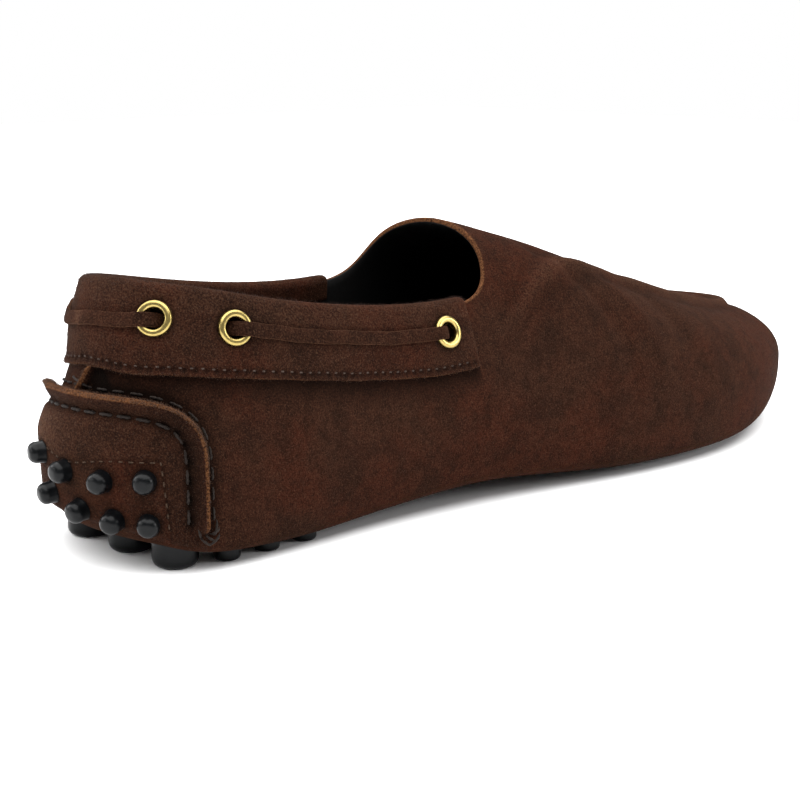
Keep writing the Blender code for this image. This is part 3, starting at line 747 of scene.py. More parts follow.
half_turn = np.concatenate((
    np.linspace(0.0, 5.4, 216, endpoint=False),
    np.linspace(5.4, 9.0, 72, endpoint=False),
    np.linspace(9.0, 15.0, 76),
))
upper_u = np.concatenate((half_turn, TURN_COUNT - half_turn[-2:0:-1]))
face_v = np.concatenate((
    np.linspace(-2.0, -1.0, 4, endpoint=False),
    np.linspace(-1.0, 0.0, 22, endpoint=False),
    np.linspace(0.0, 1.0, 62),
))
lining_v = np.concatenate((
    np.linspace(1.0, 0.0, 12, endpoint=False), np.linspace(0.0, -1.0, 6), [-2.0],
))
print("upper's grid", len(face_v), "by", len(upper_u))

# %% [markdown]
# The face is the last's surface with three things added: the pinched seam round the vamp with a
# shallow line at each side, the pull of the stitches round the heel patch, and the creases. Past
# the peak both sides meet in one ridge, so there the top row is closed.

# %% The upper's form
WALL = 1.6
RIM_ROUND = 0.3
VAMP_SEAM_AT = 0.62
VAMP_SEAM_WIDTH = 0.035
VAMP_SEAM_RISE = 1.4
COLLAR_SHADE = 8.0
PULL_AWAY = 1.5
PULL_WIDTH = 1.8
PULL_END = 2.6
v = face_v[:, None]
dome = np.clip(around("dome", upper_u), 0.0, 1.0)
side_u = signed(upper_u)
plain_face = surface(upper_u, v)
beside_seam = to_seam(plain_face)[0]
pinch = bump(v, VAMP_SEAM_AT, VAMP_SEAM_WIDTH) * dome
beside_pinch = bump(np.abs(v - VAMP_SEAM_AT), 2.2 * VAMP_SEAM_WIDTH, VAMP_SEAM_WIDTH) * dome
below_collar = collar_edge(side_u) - plain_face[..., 2]
# painted shadow of the collar band on the upper, fading out over COLLAR_SHADE mm below its edge
shade_under_collar = smooth(1 - below_collar / COLLAR_SHADE) * (np.abs(side_u) < COLLAR_END)
drawn_in = bump(beside_seam, PULL_AWAY, PULL_WIDTH) * (np.abs(side_u) < PULL_END)
# a painted shadow in the hollow beside the standing seam at the back
hollow_shadow = bump(side_u, 0.33, 0.2) * bump(plain_face[..., 2], 45.0, 3.0)
out = VAMP_SEAM_RISE * pinch - 0.45 * beside_pinch - 0.3 * drawn_in
face = skin(upper_u, v, out)
inside = skin(upper_u, lining_v[:, None], -WALL)
mirror = (len(upper_u) - np.arange(len(upper_u))) % len(upper_u)
on_ridge = (upper_u >= PEAK_SECTION) & (upper_u <= TURN_COUNT - PEAK_SECTION)
face[-1] = np.where(on_ridge[:, None], (face[-1] + face[-1][mirror]) / 2, face[-1])
inside[0] = np.where(on_ridge[:, None], (inside[0] + inside[0][mirror]) / 2, inside[0])
up_at_rim = frame_at(upper_u, np.ones_like(upper_u))[1]
rim = np.stack([face[-1] * (1 - s) + inside[0] * s + up_at_rim * RIM_ROUND for s in (0.2, 0.8)])
print("wall", WALL, "mm, rim rows", len(rim))

# %% [markdown]
# Quads join the rows, except across the closed ridge, where there is no rim. The lining is a
# second material slot. Shade is painted dark on the suede under the band, beside the seams and in
# a hollow beside the standing seam at the back, and the rim is marked cut.

# %% The upper's mesh
points = np.concatenate((face, rim, inside))
rows = len(points)
quads = grid_quads(rows, len(upper_u), wrap_rows=True, wrap_columns=True)
row_of = np.repeat(np.arange(rows), len(upper_u))
column_of = np.tile(np.arange(len(upper_u)), rows)
next_ridge = on_ridge & np.roll(on_ridge, -1)
turning = (row_of >= len(face) - 1) & (row_of < len(face) + len(rim))
keep = ~(turning & next_ridge[column_of])
slots = np.where(row_of >= len(face) + len(rim) - 1, 1, 0)[keep]
pale, dark, cut = np.zeros((3, rows, len(upper_u)))
cut[len(face) - 1:len(face) + len(rim)] = np.where(on_ridge, 0.0, 0.75)
pale[:len(face)] = 0.3 * pinch
# the painted shade fades to a tenth on the inner side of the back
shaded = 0.1 + 0.9 * smooth((side_u - 0.1) / 0.15)
# painted shade under the band, in the pull beside the heel seam, beside the vamp's pinch and in the
# back hollow
dark[:len(face)] = 0.65 * shade_under_collar * shaded + 0.65 * drawn_in * shaded
dark[:len(face)] += 0.25 * beside_pinch + 0.95 * hollow_shadow
upper = put_mesh("upper_suede", points, quads[keep], [upper_suede, lining],
                 marks_of(cut.shape, pale, dark, cut), slots)
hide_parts("upper")

# %% [markdown]
# The bottom panel closes the upper underneath, and the sock lies on it inside. Both are thin
# sheets with the outline of the last, lifted with its arch and toe spring. A flat cut-out would
# leave a gap there.

# %% Sole panel and sock
GAP = 0.3
SOLE_GAP = 0.4
SOLE_THICK = 1.7
INSOLE_THICK = 2.0
INSOLE_INSET = 10.0


def bottom_sheet(inset, lift, thick):
    """A closed sheet across the bottom; its faces meet in a rounded edge.

    The thickness follows the root of 1 minus the edge distance's eighth power."""
    stations = np.linspace(0.0, TURN_COUNT / 2, 240)
    outer = np.stack(outline(stations, inset), axis=-1)[:, None]
    inner = np.stack(outline(TURN_COUNT - stations, inset), axis=-1)[:, None]
    across = np.sin(np.linspace(-math.pi / 2, math.pi / 2, 41))[None, :, None]
    flat = outer * (1 - across) / 2 + inner * (1 + across) / 2
    round_edge = np.sqrt(1 - across[..., 0] ** 8)
    middle = bottom_at(flat[..., 1]) + lift
    sheets = [np.dstack((flat, middle + side * round_edge * thick / 2)) for side in (-1, 1)]
    quads = grid_quads(*flat.shape[:2])
    flipped = quads[:, ::-1] + flat.shape[0] * flat.shape[1]
    return np.stack(sheets), np.concatenate((quads, flipped))


points, quads = bottom_sheet(EDGE_TURN + MARGIN + SOLE_GAP, SOLE_THICK / 2, SOLE_THICK)
sole = put_mesh("sole_panel", points, quads, [patch_suede], marks_of(points.shape[:-1], 0.0, 0.35))
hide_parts("sole")
SOCK_LIFT = SOLE_THICK + GAP + INSOLE_THICK / 2
points, quads = bottom_sheet(INSOLE_INSET, SOCK_LIFT, INSOLE_THICK)
sock = put_mesh("sock", points, quads, [lining])
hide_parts("insole")

# %% [markdown]
# The collar band is a strip of suede folded over the top edge and sewn along its lower, cut
# edge. Six brass eyelets sit in it. Band, eyelets and lace all need the eyelets' places, so these
# come first: each is a section parameter, at one depth under the top edge.

# %% Places of the eyelets
COLLAR_THICK = 1.3
EYELETS = {
    "rear_outer": 1.285, "side_outer": 2.38, "front_outer": 4.85,
    "rear_inner": -2.0, "side_inner": -2.85, "front_inner": -4.85,
}
EYELET_DROP = 6.2
AXIS_REACH = 6.0
FAR_AWAY = 99.0


def eyelet_seat(u):
    """Point and outward normal on the band's face where an eyelet sits."""
    u = np.atleast_1d(np.asarray(u, float))
    v = wall_level(u, top_point(u)[2] - EYELET_DROP)
    return skin(u, v, GAP + COLLAR_THICK)[0], frame_at(u, v)[0][0]


EYELET_SEATS = {place: eyelet_seat(u) for place, u in EYELETS.items()}


def from_eyelets(points):
    """Distance of each point from the axis of the nearest eyelet."""
    away = []
    for seat, normal in EYELET_SEATS.values():
        apart = points - seat
        deep = apart @ normal
        flat = np.linalg.norm(apart - deep[..., None] * normal, axis=-1)
        away.append(np.where(np.abs(deep) < AXIS_REACH, flat, FAR_AWAY))
    return np.min(away, axis=0)


print("eyelets:", len(EYELET_SEATS))

# %% [markdown]
# The band's face is the upper's face moved outwards. Its thickness swells a little above the
# middle, drops into a groove along the stitches, is pressed in round each eyelet and opens into
# the hole there. A hole could be cut with a Boolean, but the brass covers its edge anyway.

# %% The collar band's face
HOLE_RADIUS = 3.3
HOLE_DEEP = 1.9
EDGE_ROUND = 0.6
STITCH_UP = 1.9
STITCH_PITCH = 2.65
band_u = np.linspace(-COLLAR_END, COLLAR_END, 620)
band_low = wall_level(band_u, collar_edge(band_u))
end_round = np.sqrt(np.clip(1 - (np.abs(band_u) / COLLAR_END) ** 60, 0.0, 1.0))
share = np.linspace(0.0, 1.0, 44)[:, None] ** 1.2
face_v = band_low + (1 - band_low) * share
plain_face = skin(band_u, face_v, GAP + COLLAR_THICK)
above_edge = plain_face[..., 2] - collar_edge(band_u)
eyelet_away = from_eyelets(plain_face)
edge_length = lengths(plain_face[0])
ruck = 0.5 + 0.5 * np.cos(2 * math.pi * edge_length / STITCH_PITCH)
groove = bump(above_edge, STITCH_UP, 0.75)
band_out = 0.45 * bump(above_edge, 8.5, 4.5) - groove * (0.25 + 0.25 * ruck)
band_out = band_out - 0.3 * bump(eyelet_away, 3.6, 2.2)
band_out = band_out - HOLE_DEEP * smooth((HOLE_RADIUS - eyelet_away) / 0.7)
from_edge = 1 - np.clip(above_edge / EDGE_ROUND, 0, 1)
round_low = 0.45 * (1 - np.sqrt(np.clip(1 - from_edge**2, 0.0, 1.0)))
outside = GAP + (COLLAR_THICK + band_out - round_low) * end_round
print("lower edge", edge_length[-1].round(1), "mm")

# %% [markdown]
# The band's section is an upside-down J: up the outside, over the top edge in half a circle, and
# a short way down the inside, then the same way back underneath. Carried from throat to throat,
# that is one closed sheet.

# %% The collar band's fold and mesh
COLLAR_FOLD = 5.0
THIN = 0.05
normal, upward = frame_at(band_u, np.ones_like(band_u))
top = surface(band_u, np.ones_like(band_u))
fold_middle = top - normal * WALL / 2


def over_edge(reach, degrees):
    """Rows of the fold: circles about the middle of the wall's top edge."""
    turn = np.radians(np.atleast_1d(degrees))[:, None, None]
    out = reach * np.cos(turn) - WALL / 2
    return top + normal * out + upward * reach * np.sin(turn)


fold_reach = (WALL / 2 + GAP + COLLAR_THICK * end_round)[None, :, None]
inner_reach = np.full_like(fold_reach, WALL / 2 + GAP)
fold = over_edge(fold_reach, np.linspace(0.0, 180.0, 18)[1:])
down = np.linspace(0.0, 1.0, 6)[1:, None, None] * COLLAR_FOLD
inner_down = over_edge(fold_reach, 180.0) - upward * down
inner_up = over_edge(inner_reach, 180.0) - upward * down[::-1]
fold_back = over_edge(inner_reach, np.linspace(180.0, 0.0, 8))
back_face = skin(band_u, face_v[::-8], np.minimum(GAP, outside[::-8] - THIN))
band_face = skin(band_u, face_v, outside)
points = np.concatenate((band_face, fold, inner_down, inner_up, fold_back, back_face))
quads = grid_quads(len(points), len(band_u), wrap_rows=True)
shape = points.shape[:2]
pale, dark, cut = np.zeros((3, *shape))
rows = len(face_v)
pale[rows - 8:rows + 12] = 0.12
# nap painted pale, as lit, in the middle of the band at the heel's back
pale[:rows] += 0.08 * bump(above_edge, 8.0, 6.0) * bump(band_u, 0.0, 1.6)
# painted shade in the stitched groove, a painted dark hole inside each eyelet and a painted shadow
# ring round its brass
dark[:rows] = groove * (0.3 + 0.4 * ruck) + smooth((3.1 - eyelet_away) / 0.5)
dark[:rows] += 0.35 * bump(eyelet_away, 4.6, 0.6)
cut[:rows] = 0.35 * smooth((0.6 - above_edge) / 0.4)
collar = put_mesh("collar_band_suede", points, quads, [collar_suede],
                  marks_of(shape, pale, dark, cut))
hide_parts("collar_band")

# %% [markdown]
# The heel patch wraps up round the heel. Its edge is the outer half of the standing lip: cut
# suede on top, then a face about 4 mm deep, then the deep line where the hand stitches pull it
# in. Below that the suede swells out again, and a fine stitch line frames the pebbles. It could be
# sculpted, but stitches have to lie in its grooves, so its form is a function of the distance to
# the sewn line, and they ask it for their places.

# %% The heel patch's form
LIP_RISE = 2.1
LIP_DEEP = 3.6
PATCH_THICK = 1.6
STITCH_IN = 3.9
SEAM_PITCH = 4.9
FINE_LEVEL = 28.2
FINE_DIP = 2.0
FINE_SIDE = 1.48
FINE_LEAN = 0.09
FINE_TALL = 16.3
SIDE_SECTION = 18.5
SEWN_FROM = 9.5
SEWN_RISE = 4.0
PATCH_SUNK = 0.15


def fine_height(u):
    """Height of the fine stitch line across the heel: level, with a soft dip at the back."""
    return FINE_LEVEL - FINE_DIP * bump(u, 0.1, 0.45)


def fine_side(height):
    """Section parameter of the fine stitch line down the side, which leans a little forwards."""
    return FINE_SIDE + FINE_LEAN * (FINE_LEVEL - height) / FINE_TALL


def patch_fields(u, v):
    """What the patch's form is made of at places on the upper: how far the edge and its lip, the
    pull of the stitches, the swelling and the fine line reach, and the sum of them all."""
    base = skin(u, v, 0.0)
    height = base[..., 2]
    inward, along = to_seam(base)
    side_away = np.linalg.norm(base - skin(np.sign(u) * PATCH_END, v, 0.0), axis=-1)
    sewn = smooth((height - SEWN_FROM) / SEWN_RISE)
    wave = 1 + 0.10 * np.sin(9.0 * u + 1.0) + 0.06 * np.sin(17.0 * u)
    lip = LIP_RISE * smooth(1 - inward / LIP_DEEP) * wave
    pucker = 0.5 + 0.5 * np.cos(2 * math.pi * (along / SEAM_PITCH - 0.18))
    pull = (0.85 + 0.35 * pucker) * bump(inward, STITCH_IN, 1.15)
    swell = 0.5 * bump(inward, 10.5, 4.5)
    in_panel = (np.abs(u) < fine_side(height)) & (height < fine_height(u))
    across = bump(height, fine_height(u), 0.6) * (np.abs(u) < fine_side(height))
    beside = (np.abs(u) - fine_side(height)) * SIDE_SECTION
    down = bump(beside, 0.0, 0.6) * (height < fine_height(u))
    fine_line = np.maximum(across, down)
    body = PATCH_THICK * (sewn + (1 - sewn) * smooth(side_away / 9.0))
    out = body + sewn * (lip - pull + swell) - 0.3 * fine_line
    rooted = smooth((v - PATCH_LOW) / 0.22)
    out = (out + GAP + PATCH_SUNK) * rooted - PATCH_SUNK
    return {"inward": inward, "sewn": sewn, "pucker": pucker, "in_panel": in_panel,
            "fine_line": fine_line, "out": out}


fine_end = np.linspace(0.0, 1.0, 150)
patch_half = PATCH_END * (1 - (1 - fine_end) ** 1.6)
patch_u = np.concatenate((-patch_half[:0:-1], patch_half))
patch_top = wall_level(patch_u, patch_edge(patch_u))
climb = 1 - (1 - np.linspace(0.0, 1.0, 120)[:, None]) ** 1.3
patch_v = PATCH_LOW + (patch_top - PATCH_LOW) * climb
fields = patch_fields(np.broadcast_to(patch_u, patch_v.shape), patch_v)
inward, sewn, pucker = fields["inward"], fields["sewn"], fields["pucker"]
in_panel, fine_line, patch_out = fields["in_panel"], fields["fine_line"], fields["out"]
print("patch stands out up to", patch_out.max().round(1), "mm")

# %% [markdown]
# The patch is a closed sheet: the outer face, four rows over the cut edge, and the inner face
# back down. The lip's inner side stays clear of the upper, as the real edge does. Its marks show
# the raw edge, painted shade along the lip, in the stitched grooves, round the pebbles and on
# the sides turned from the light, and nap painted pale, as lit, on its left below the lip.

# %% The heel patch's mesh
LIP_CUT = 1.9
UNDER_SUNK = 0.2
POST_SHADE = 4.2
HEEL_BACK_ROWS = {
    "upper": ((-0.55, 26.0), (0.05, 23.8), (0.66, 23.0), (1.27, 23.8)),
    "lower": ((-0.32, 17.4), (0.27, 15.5), (0.79, 14.2), (1.3, 13.9)),
}
under = np.clip(patch_out - LIP_CUT, 0.0, None) * smooth(1 - inward / LIP_DEEP) - UNDER_SUNK
outer_face = skin(patch_u, patch_v, patch_out)
inner_face = skin(patch_u, patch_v, np.minimum(under, patch_out - THIN))
edge_up = frame_at(patch_u, patch_top)[1]
edge_rows = np.stack([
    outer_face[-1] * (1 - s) + inner_face[-1] * s for s in (0.12, 0.35, 0.65, 0.88)
]) + edge_up * np.array((0.35, 0.5, 0.5, 0.3))[:, None, None]
points = np.concatenate((outer_face, edge_rows, inner_face[::-4], inner_face[:1]))
quads = grid_quads(len(points), len(patch_u), wrap_rows=True)
shape = points.shape[:2]
rows = len(outer_face)
pale, dark, cut = np.zeros((3, *shape))
cut_deep = 0.95 - 0.4 * bump(np.abs(patch_u), 1.55, 0.35)
cut[:rows] = smooth((cut_deep - inward) / 0.35) * sewn
cut[rows:rows + len(edge_rows)] = sewn[-1]
# painted shade in the stitched groove, and along the lip's face above it
groove = bump(inward, STITCH_IN, 1.0) * (0.45 + 0.25 * pucker)
dark[:rows] = sewn * (groove + 0.25 * bump(inward, 2.4, 1.2))
post_u, post_level = np.array([place for row in HEEL_BACK_ROWS.values() for place in row]).T
post_seats = skin(post_u, wall_level(post_u, post_level), GAP + PATCH_THICK)
from_posts = np.linalg.norm(outer_face[..., None, :] - post_seats, axis=-1).min(axis=-1)
# a painted shadow round the foot of each pebble
dark[:rows] += 0.6 * smooth((POST_SHADE - from_posts) / 1.4)
# painted shade in the fine stitch line and on the patch's sides, turned from the light
dark[:rows] += 0.3 * fine_line + 0.25 * smooth((np.abs(patch_u) - 0.9) / 0.7) * (1 - in_panel)
# nap painted pale, as lit, on the patch's left below the lip
pale[:rows] = 0.55 * smooth((inward - 4.0) / 4.0) * bump(patch_u, -0.8, 0.6) * (1 - in_panel)
panel = np.zeros(shape, int)
panel[:rows] = in_panel
patch = put_mesh("heel_patch_suede", points, quads, [patch_suede, panel_suede],
                 marks_of(shape, pale, dark, cut), panel[:, :-1].ravel())
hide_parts("heel_patch")

# %% [markdown]
# At the centre back the two halves of the upper are pinched into a short standing seam. Its
# section is a narrow hump, carried up from the lip to the collar band, with a back so that the
# sheet is closed.

# %% The standing seam at the back
RIDGE_RISE = 2.6
RIDGE_LOW_U = 0.03
RIDGE_LEAN = 0.15
RIDGE_HALF = 2.6
RIDGE_NARROW = 0.52
RIDGE_FOOT = 1.5
RIDGE_HEAD = 0.6
RIDGE_SUNK = 0.2
RIDGE_BACK = 0.25
HEEL_SECTION = 17.5  # mm from one section to the next on the heel's wall


def closed_sheet(front, back):
    """A front and a back grid of points joined by a strip of quads all round their border."""
    rows, columns = front.shape[:2]
    size = rows * columns
    index = np.arange(size).reshape(rows, columns)
    border = np.concatenate((index[0, :-1], index[:-1, -1], index[-1, :0:-1], index[:0:-1, 0]))
    ahead = np.roll(border, -1)
    quads = grid_quads(rows, columns)
    strip_quads = np.stack((ahead, border, border + size, ahead + size), axis=-1)
    return np.stack((front, back)), np.concatenate((quads, quads[:, ::-1] + size, strip_quads))


ridge_end = collar_edge(np.zeros(1))[0] + RIDGE_HEAD
ridge_z = np.linspace(PATCH_HEIGHT_BACK - RIDGE_FOOT, ridge_end, 26)[:, None]
across = np.linspace(-RIDGE_HALF, RIDGE_HALF, 41)
climb = (ridge_z - ridge_z[0]) / (ridge_z[-1] - ridge_z[0])
ridge_u = RIDGE_LOW_U + RIDGE_LEAN * climb + across / HEEL_SECTION
ridge_v = wall_level(ridge_u, ridge_z)
hump = 1 / (1 + (np.abs(across) / RIDGE_NARROW) ** 4)
ridge_tall = (RIDGE_RISE + 0.2 * np.sin(7 * climb)) * (1 - 0.5 * smooth((climb - 0.75) / 0.25))
ridge_out = ridge_tall * hump - RIDGE_SUNK
ridge_face = skin(ridge_u, ridge_v, ridge_out)
points, quads = closed_sheet(ridge_face, skin(ridge_u, ridge_v, -RIDGE_BACK))
cut = np.stack((smooth((hump - 0.5) / 0.3) + 0 * climb, 0 * ridge_out))
# painted shade along the foot of the standing seam, where it meets the upper
dark = np.stack((0.8 * smooth((0.45 - hump) / 0.4) + 0 * climb, 0 * ridge_out))
ridge = put_mesh("back_seam_suede", points, quads, [patch_suede],
                 marks_of(cut.shape, 0.0, dark, cut))
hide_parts("back_seam")

# %% [markdown]
# Every stitch is a short thread that rises out of the suede and sinks back in. One function
# makes a whole row at once. A bump in the suede would be quicker, but it throws no shadow and is
# gone in a plain mesh. The thick hand stitches are two plies twisted together, so their section is
# a double lobe that turns along the thread.

# %% Stitches along the collar band


def copies(points, faces):
    """Points of many copies of one form, and the form's faces repeated for each copy."""
    starts = np.arange(len(points))[:, None, None] * (points[0].size // 3)
    return points.reshape(-1, 3), (faces + starts).reshape(-1, faces.shape[1])


def stitches(starts, ends, normals, radius, rise, sink, sides=8, rings=11, lobes=0.0, twists=1.5):
    """Tubes from starts to ends: each bows out by rise, sinks by sink at its ends, and its radius
    follows the root of 1 minus the sixth power, with lobes that turn along it."""
    t = np.linspace(0.0, 1.0, rings)[None, :, None]
    run = (ends - starts)[:, None]
    centre = starts[:, None] + run * t
    arch = 1 - (2 * t - 1) ** 4
    centre = centre + normals[:, None] * (arch * (rise + sink) - sink)
    ahead = unit(run)
    side = unit(np.cross(normals[:, None], ahead))
    lift = np.cross(ahead, side)
    turn = np.linspace(0.0, 2 * math.pi, sides, endpoint=False)
    spin = turn + 2 * math.pi * twists * t
    thin = np.sqrt(np.clip(1 - (2 * t - 1) ** 6, 0.0, 1.0))
    size = radius * thin * (1 + lobes * np.cos(2 * spin))
    ring = side[:, :, None] * (size * np.cos(turn))[..., None]
    ring = ring + lift[:, :, None] * (size * np.sin(turn))[..., None]
    return copies(centre[:, :, None] + ring, grid_quads(rings, sides, wrap_columns=True))


def row_of_stitches(path, normals, pitch, share, **shape):
    """A row of stitches along a path, each taking a share of the pitch."""
    length = lengths(path)
    begin = np.arange(0.3 * pitch, length[-1] - pitch, pitch)
    first = np.interp(begin, length, np.arange(len(path)))
    last = np.interp(begin + share * pitch, length, np.arange(len(path)))
    middle = unit(at(normals, (first + last) / 2))
    return stitches(at(path, first), at(path, last), middle, **shape)


line_u = np.linspace(-COLLAR_END + 0.06, COLLAR_END - 0.06, 1600)
line_v = wall_level(line_u, collar_edge(line_u) + STITCH_UP)
line = skin(line_u, line_v, GAP + COLLAR_THICK - 0.3)
points, quads = row_of_stitches(line, frame_at(line_u, line_v)[0], STITCH_PITCH, 0.38,
                                radius=0.22, rise=0.1, sink=0.26)
collar_stitches = put_mesh("collar_stitches", points, quads, [pale_thread], weld=0.001)

# %% [markdown]
# The heel patch is sewn on by hand with one thick thread. It shows as a row in the patch's groove
# and as a thinner row outside the lip, and is knotted at both lower ends, with one loose strand
# at the centre back. All strands are stitches too, each from one place on the wall to another.

# %% Hand stitches


def joined(parts):
    """Several lists of points and faces as one, with the later faces' numbers moved on."""
    points = np.concatenate([part[0] for part in parts])
    starts = np.cumsum([0] + [len(part[0]) for part in parts[:-1]])
    return points, np.concatenate([part[1] + start for part, start in zip(parts, starts)])


def inside_seam(offset):
    """Section parameter and v of a line beside the sewn one, moved towards the heel's middle.

    The move is square to the seam on the unrolled wall, where a section has one width."""
    unrolled = np.array((HEEL_SECTION, 1.0))
    flat = seam_uz * unrolled
    run = unit(np.gradient(flat, axis=0))
    u, level = ((flat + offset * run[:, ::-1] * (1.0, -1.0)) / unrolled).T
    return u, wall_level(u, level)


OUTSIDE_LIP = -1.6
HAND_THREAD = {"radius": 0.36, "sides": 12, "rings": 17, "lobes": 0.22, "twists": 1.4}
OUTER_THREAD = {"radius": 0.27, "sides": 10, "rings": 15, "lobes": 0.25, "twists": 1.4}
line_u, line_v = inside_seam(STITCH_IN)
line = skin(line_u, line_v, patch_fields(line_u, line_v)["out"])
inner_row = row_of_stitches(line, frame_at(line_u, line_v)[0], SEAM_PITCH, 0.84,
                            rise=0.2, sink=0.5, **HAND_THREAD)
line_u, line_v = inside_seam(OUTSIDE_LIP)
line = skin(line_u, line_v, -0.2)
outer_row = row_of_stitches(line, frame_at(line_u, line_v)[0], SEAM_PITCH, 0.72,
                            rise=0.25, sink=0.4, **OUTER_THREAD)
# section parameter and height of each strand's start and end
KNOT = (
    (1.90, 14.0, 1.95, 10.3), (1.94, 10.5, 2.08, 8.9), (2.03, 9.0, 2.17, 10.6),
    (2.00, 10.9, 2.14, 9.4), (2.14, 13.6, 2.10, 10.4), (2.17, 11.9, 2.05, 10.9),
)
BACK_STRAND = (-0.26, 45.2, 0.22, 43.6)
STRAND_OUT = 0.9
inner_knot = np.array(KNOT) * (-1.0, 1.0, -1.0, 1.0)
strand_ends = np.array((*KNOT, BACK_STRAND, *inner_knot)).reshape(-1, 2, 2)
ends_u, ends_z = strand_ends[..., 0], strand_ends[..., 1]
ends_v = wall_level(ends_u, ends_z)
ends = skin(ends_u, ends_v, STRAND_OUT)
ways = unit(frame_at(ends_u, ends_v)[0].mean(axis=1))
strands = stitches(ends[:, 0], ends[:, 1], ways, rise=0.7, sink=0.5, **OUTER_THREAD)
points, quads = joined((inner_row, outer_row, strands))
hand_stitches = put_mesh("hand_stitches", points, quads, [thread], weld=0.001)

# %% [markdown]
# A machine sewed the fine line across the patch and down both its sides, with short, even
# stitches. It frames the panel in which the pebbles stand.

# %% Fine stitches on the patch
FINE_PITCH = 2.6
side_z = np.linspace(10.5, 27.6, 120)
side_line = fine_side(side_z)
across_u = np.linspace(-side_line[-1], side_line[-1], 400)
fine_u = np.concatenate((-side_line, across_u, side_line[::-1]))
fine_z = np.concatenate((side_z, fine_height(across_u), side_z[::-1]))
fine_v = wall_level(fine_u, fine_z)
line = skin(fine_u, fine_v, patch_fields(fine_u, fine_v)["out"] + 0.02)
points, quads = row_of_stitches(line, frame_at(fine_u, fine_v)[0], FINE_PITCH, 0.55,
                                radius=0.2, rise=0.08, sink=0.22)
patch_stitches = put_mesh("patch_stitches", points, quads, [fine_thread], weld=0.001)

# %% [markdown]
# An eyelet is a brass tube whose end was rolled over in a press: a smooth ring on the band, and
# a short wall into the hole. One profile turned about its own axis gives each of the six.

# %% Eyelets
EYELET_RADIUS = 4.4
EYELET_BORE = 2.5
EYELET_RISE = 1.0
EYELET_SUNK = 0.35
EYELET_SIDES = 64
BARREL_DEEP = 1.2
BARREL_WALL = 0.25


def turned(profile, seats, normals, sides):
    """Profiles of radius and height turned about each normal, with rows along the profile."""
    turn = np.linspace(0.0, 2 * math.pi, sides, endpoint=False)
    helper = np.where(np.abs(normals[:, 2:]) > 0.9, (1.0, 0.0, 0.0), (0.0, 0.0, 1.0))
    side = unit(np.cross(helper, normals))
    lift = np.cross(normals, side)
    ring = side[:, None] * np.cos(turn)[:, None] + lift[:, None] * np.sin(turn)[:, None]
    points = seats[:, None, None] + ring[:, None] * profile[:, 0][:, None, None]
    points = points + normals[:, None, None] * profile[:, 1][:, None, None]
    return copies(points, grid_quads(len(profile), sides, wrap_columns=True))


ring_turn = np.linspace(0.0, math.pi, 17)
half = (EYELET_RADIUS - EYELET_BORE) / 2
roll_out = np.sign(np.cos(ring_turn)) * np.abs(np.cos(ring_turn)) ** 0.8
roll = np.stack((
    (EYELET_RADIUS + EYELET_BORE) / 2 + half * roll_out,
    GAP - EYELET_SUNK + (EYELET_RISE + EYELET_SUNK) * np.sin(ring_turn) ** 0.6,
), axis=-1)
barrel_out = EYELET_BORE + BARREL_WALL
barrel = np.array(((EYELET_BORE, -BARREL_DEEP), (barrel_out, -BARREL_DEEP), (barrel_out, -0.1)))
profile = np.concatenate((roll, barrel, roll[:1]))
for place, (seat, normal) in EYELET_SEATS.items():
    points, quads = turned(profile, seat[None], normal[None], EYELET_SIDES)
    name = "eyelet_" + place
    eyelet = put_mesh(name + "_brass", points, quads, [brass])
    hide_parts(name)

# %% [markdown]
# The lace is a flat strip of suede. It runs round the heel outside the band, lifts over the
# eyelet's ring and dips into the hole. The strip's section, a flat rounded oblong, is carried
# along that path with its broad side against the shoe. A curve with a bevel would twist on the
# way, so the strip's sides are taken from the shoe's own normals.

# %% The lace
LACE_WIDTH = 3.5
LACE_THICK = 1.3
LACE_SIDES = 20
LACE_POINTS = 700
LACE_DIP = 2.5
LACE_EASE = 2.4
RUBBED_AT = 0.545
RUBBED_WIDTH = 0.035
LACE_DROPS = ((-2.0, -1.5, -0.8, 0.1, 0.7, 1.285), (0.0, 1.3, 2.3, 1.9, 1.4, 0.2))


def lace_offset(away):
    """Height of the lace's middle over the band's face at a distance past an eyelet's axis."""
    knots = (-2.5, -1.4, -0.4, 0.8, 2.2, 3.4, 5.0, 7.5, 10.0)
    heights = (-2.6, -1.7, -0.6, 0.5, 1.55, 1.9, 1.6, 1.05, 0.9)
    return np.interp(away, knots, heights)


def lace_path(start, end):
    """Points and normals from one eyelet's hole to another's along the band."""
    reach = np.linspace(start, end, 60)
    seats = np.stack([eyelet_seat(u)[0] for u in reach])
    steps = lengths(seats)
    along = np.linspace(-LACE_DIP, steps[-1] + LACE_DIP, LACE_POINTS)
    per_mm = (end - start) / steps[-1]
    inside = np.clip(along, 0.0, steps[-1])
    u = np.interp(inside, steps, reach) + (along - inside) * per_mm
    away = np.minimum(along, steps[-1] - along)
    kernel = np.hanning(int(LACE_POINTS * LACE_EASE / (steps[-1] + 2 * LACE_DIP)) + 3)
    padded = np.pad(lace_offset(away), len(kernel), mode="edge")
    lift = np.convolve(padded, kernel / kernel.sum(), "same")[len(kernel):-len(kernel)]
    sway = 0.12 * np.sin(along * 0.23) + 0.06 * np.sin(along * 0.61 + 1.0)
    hang = np.interp(u, *LACE_DROPS) * (start < 0 < end)
    hang = np.convolve(np.pad(hang, 90, mode="edge"), np.hanning(91) / 45, "same")[90:-90]
    v = wall_level(u, top_point(u)[2] - EYELET_DROP - hang + sway * smooth((away - 6) / 6))
    return skin(u, v, GAP + COLLAR_THICK + lift), frame_at(u, v)[0]


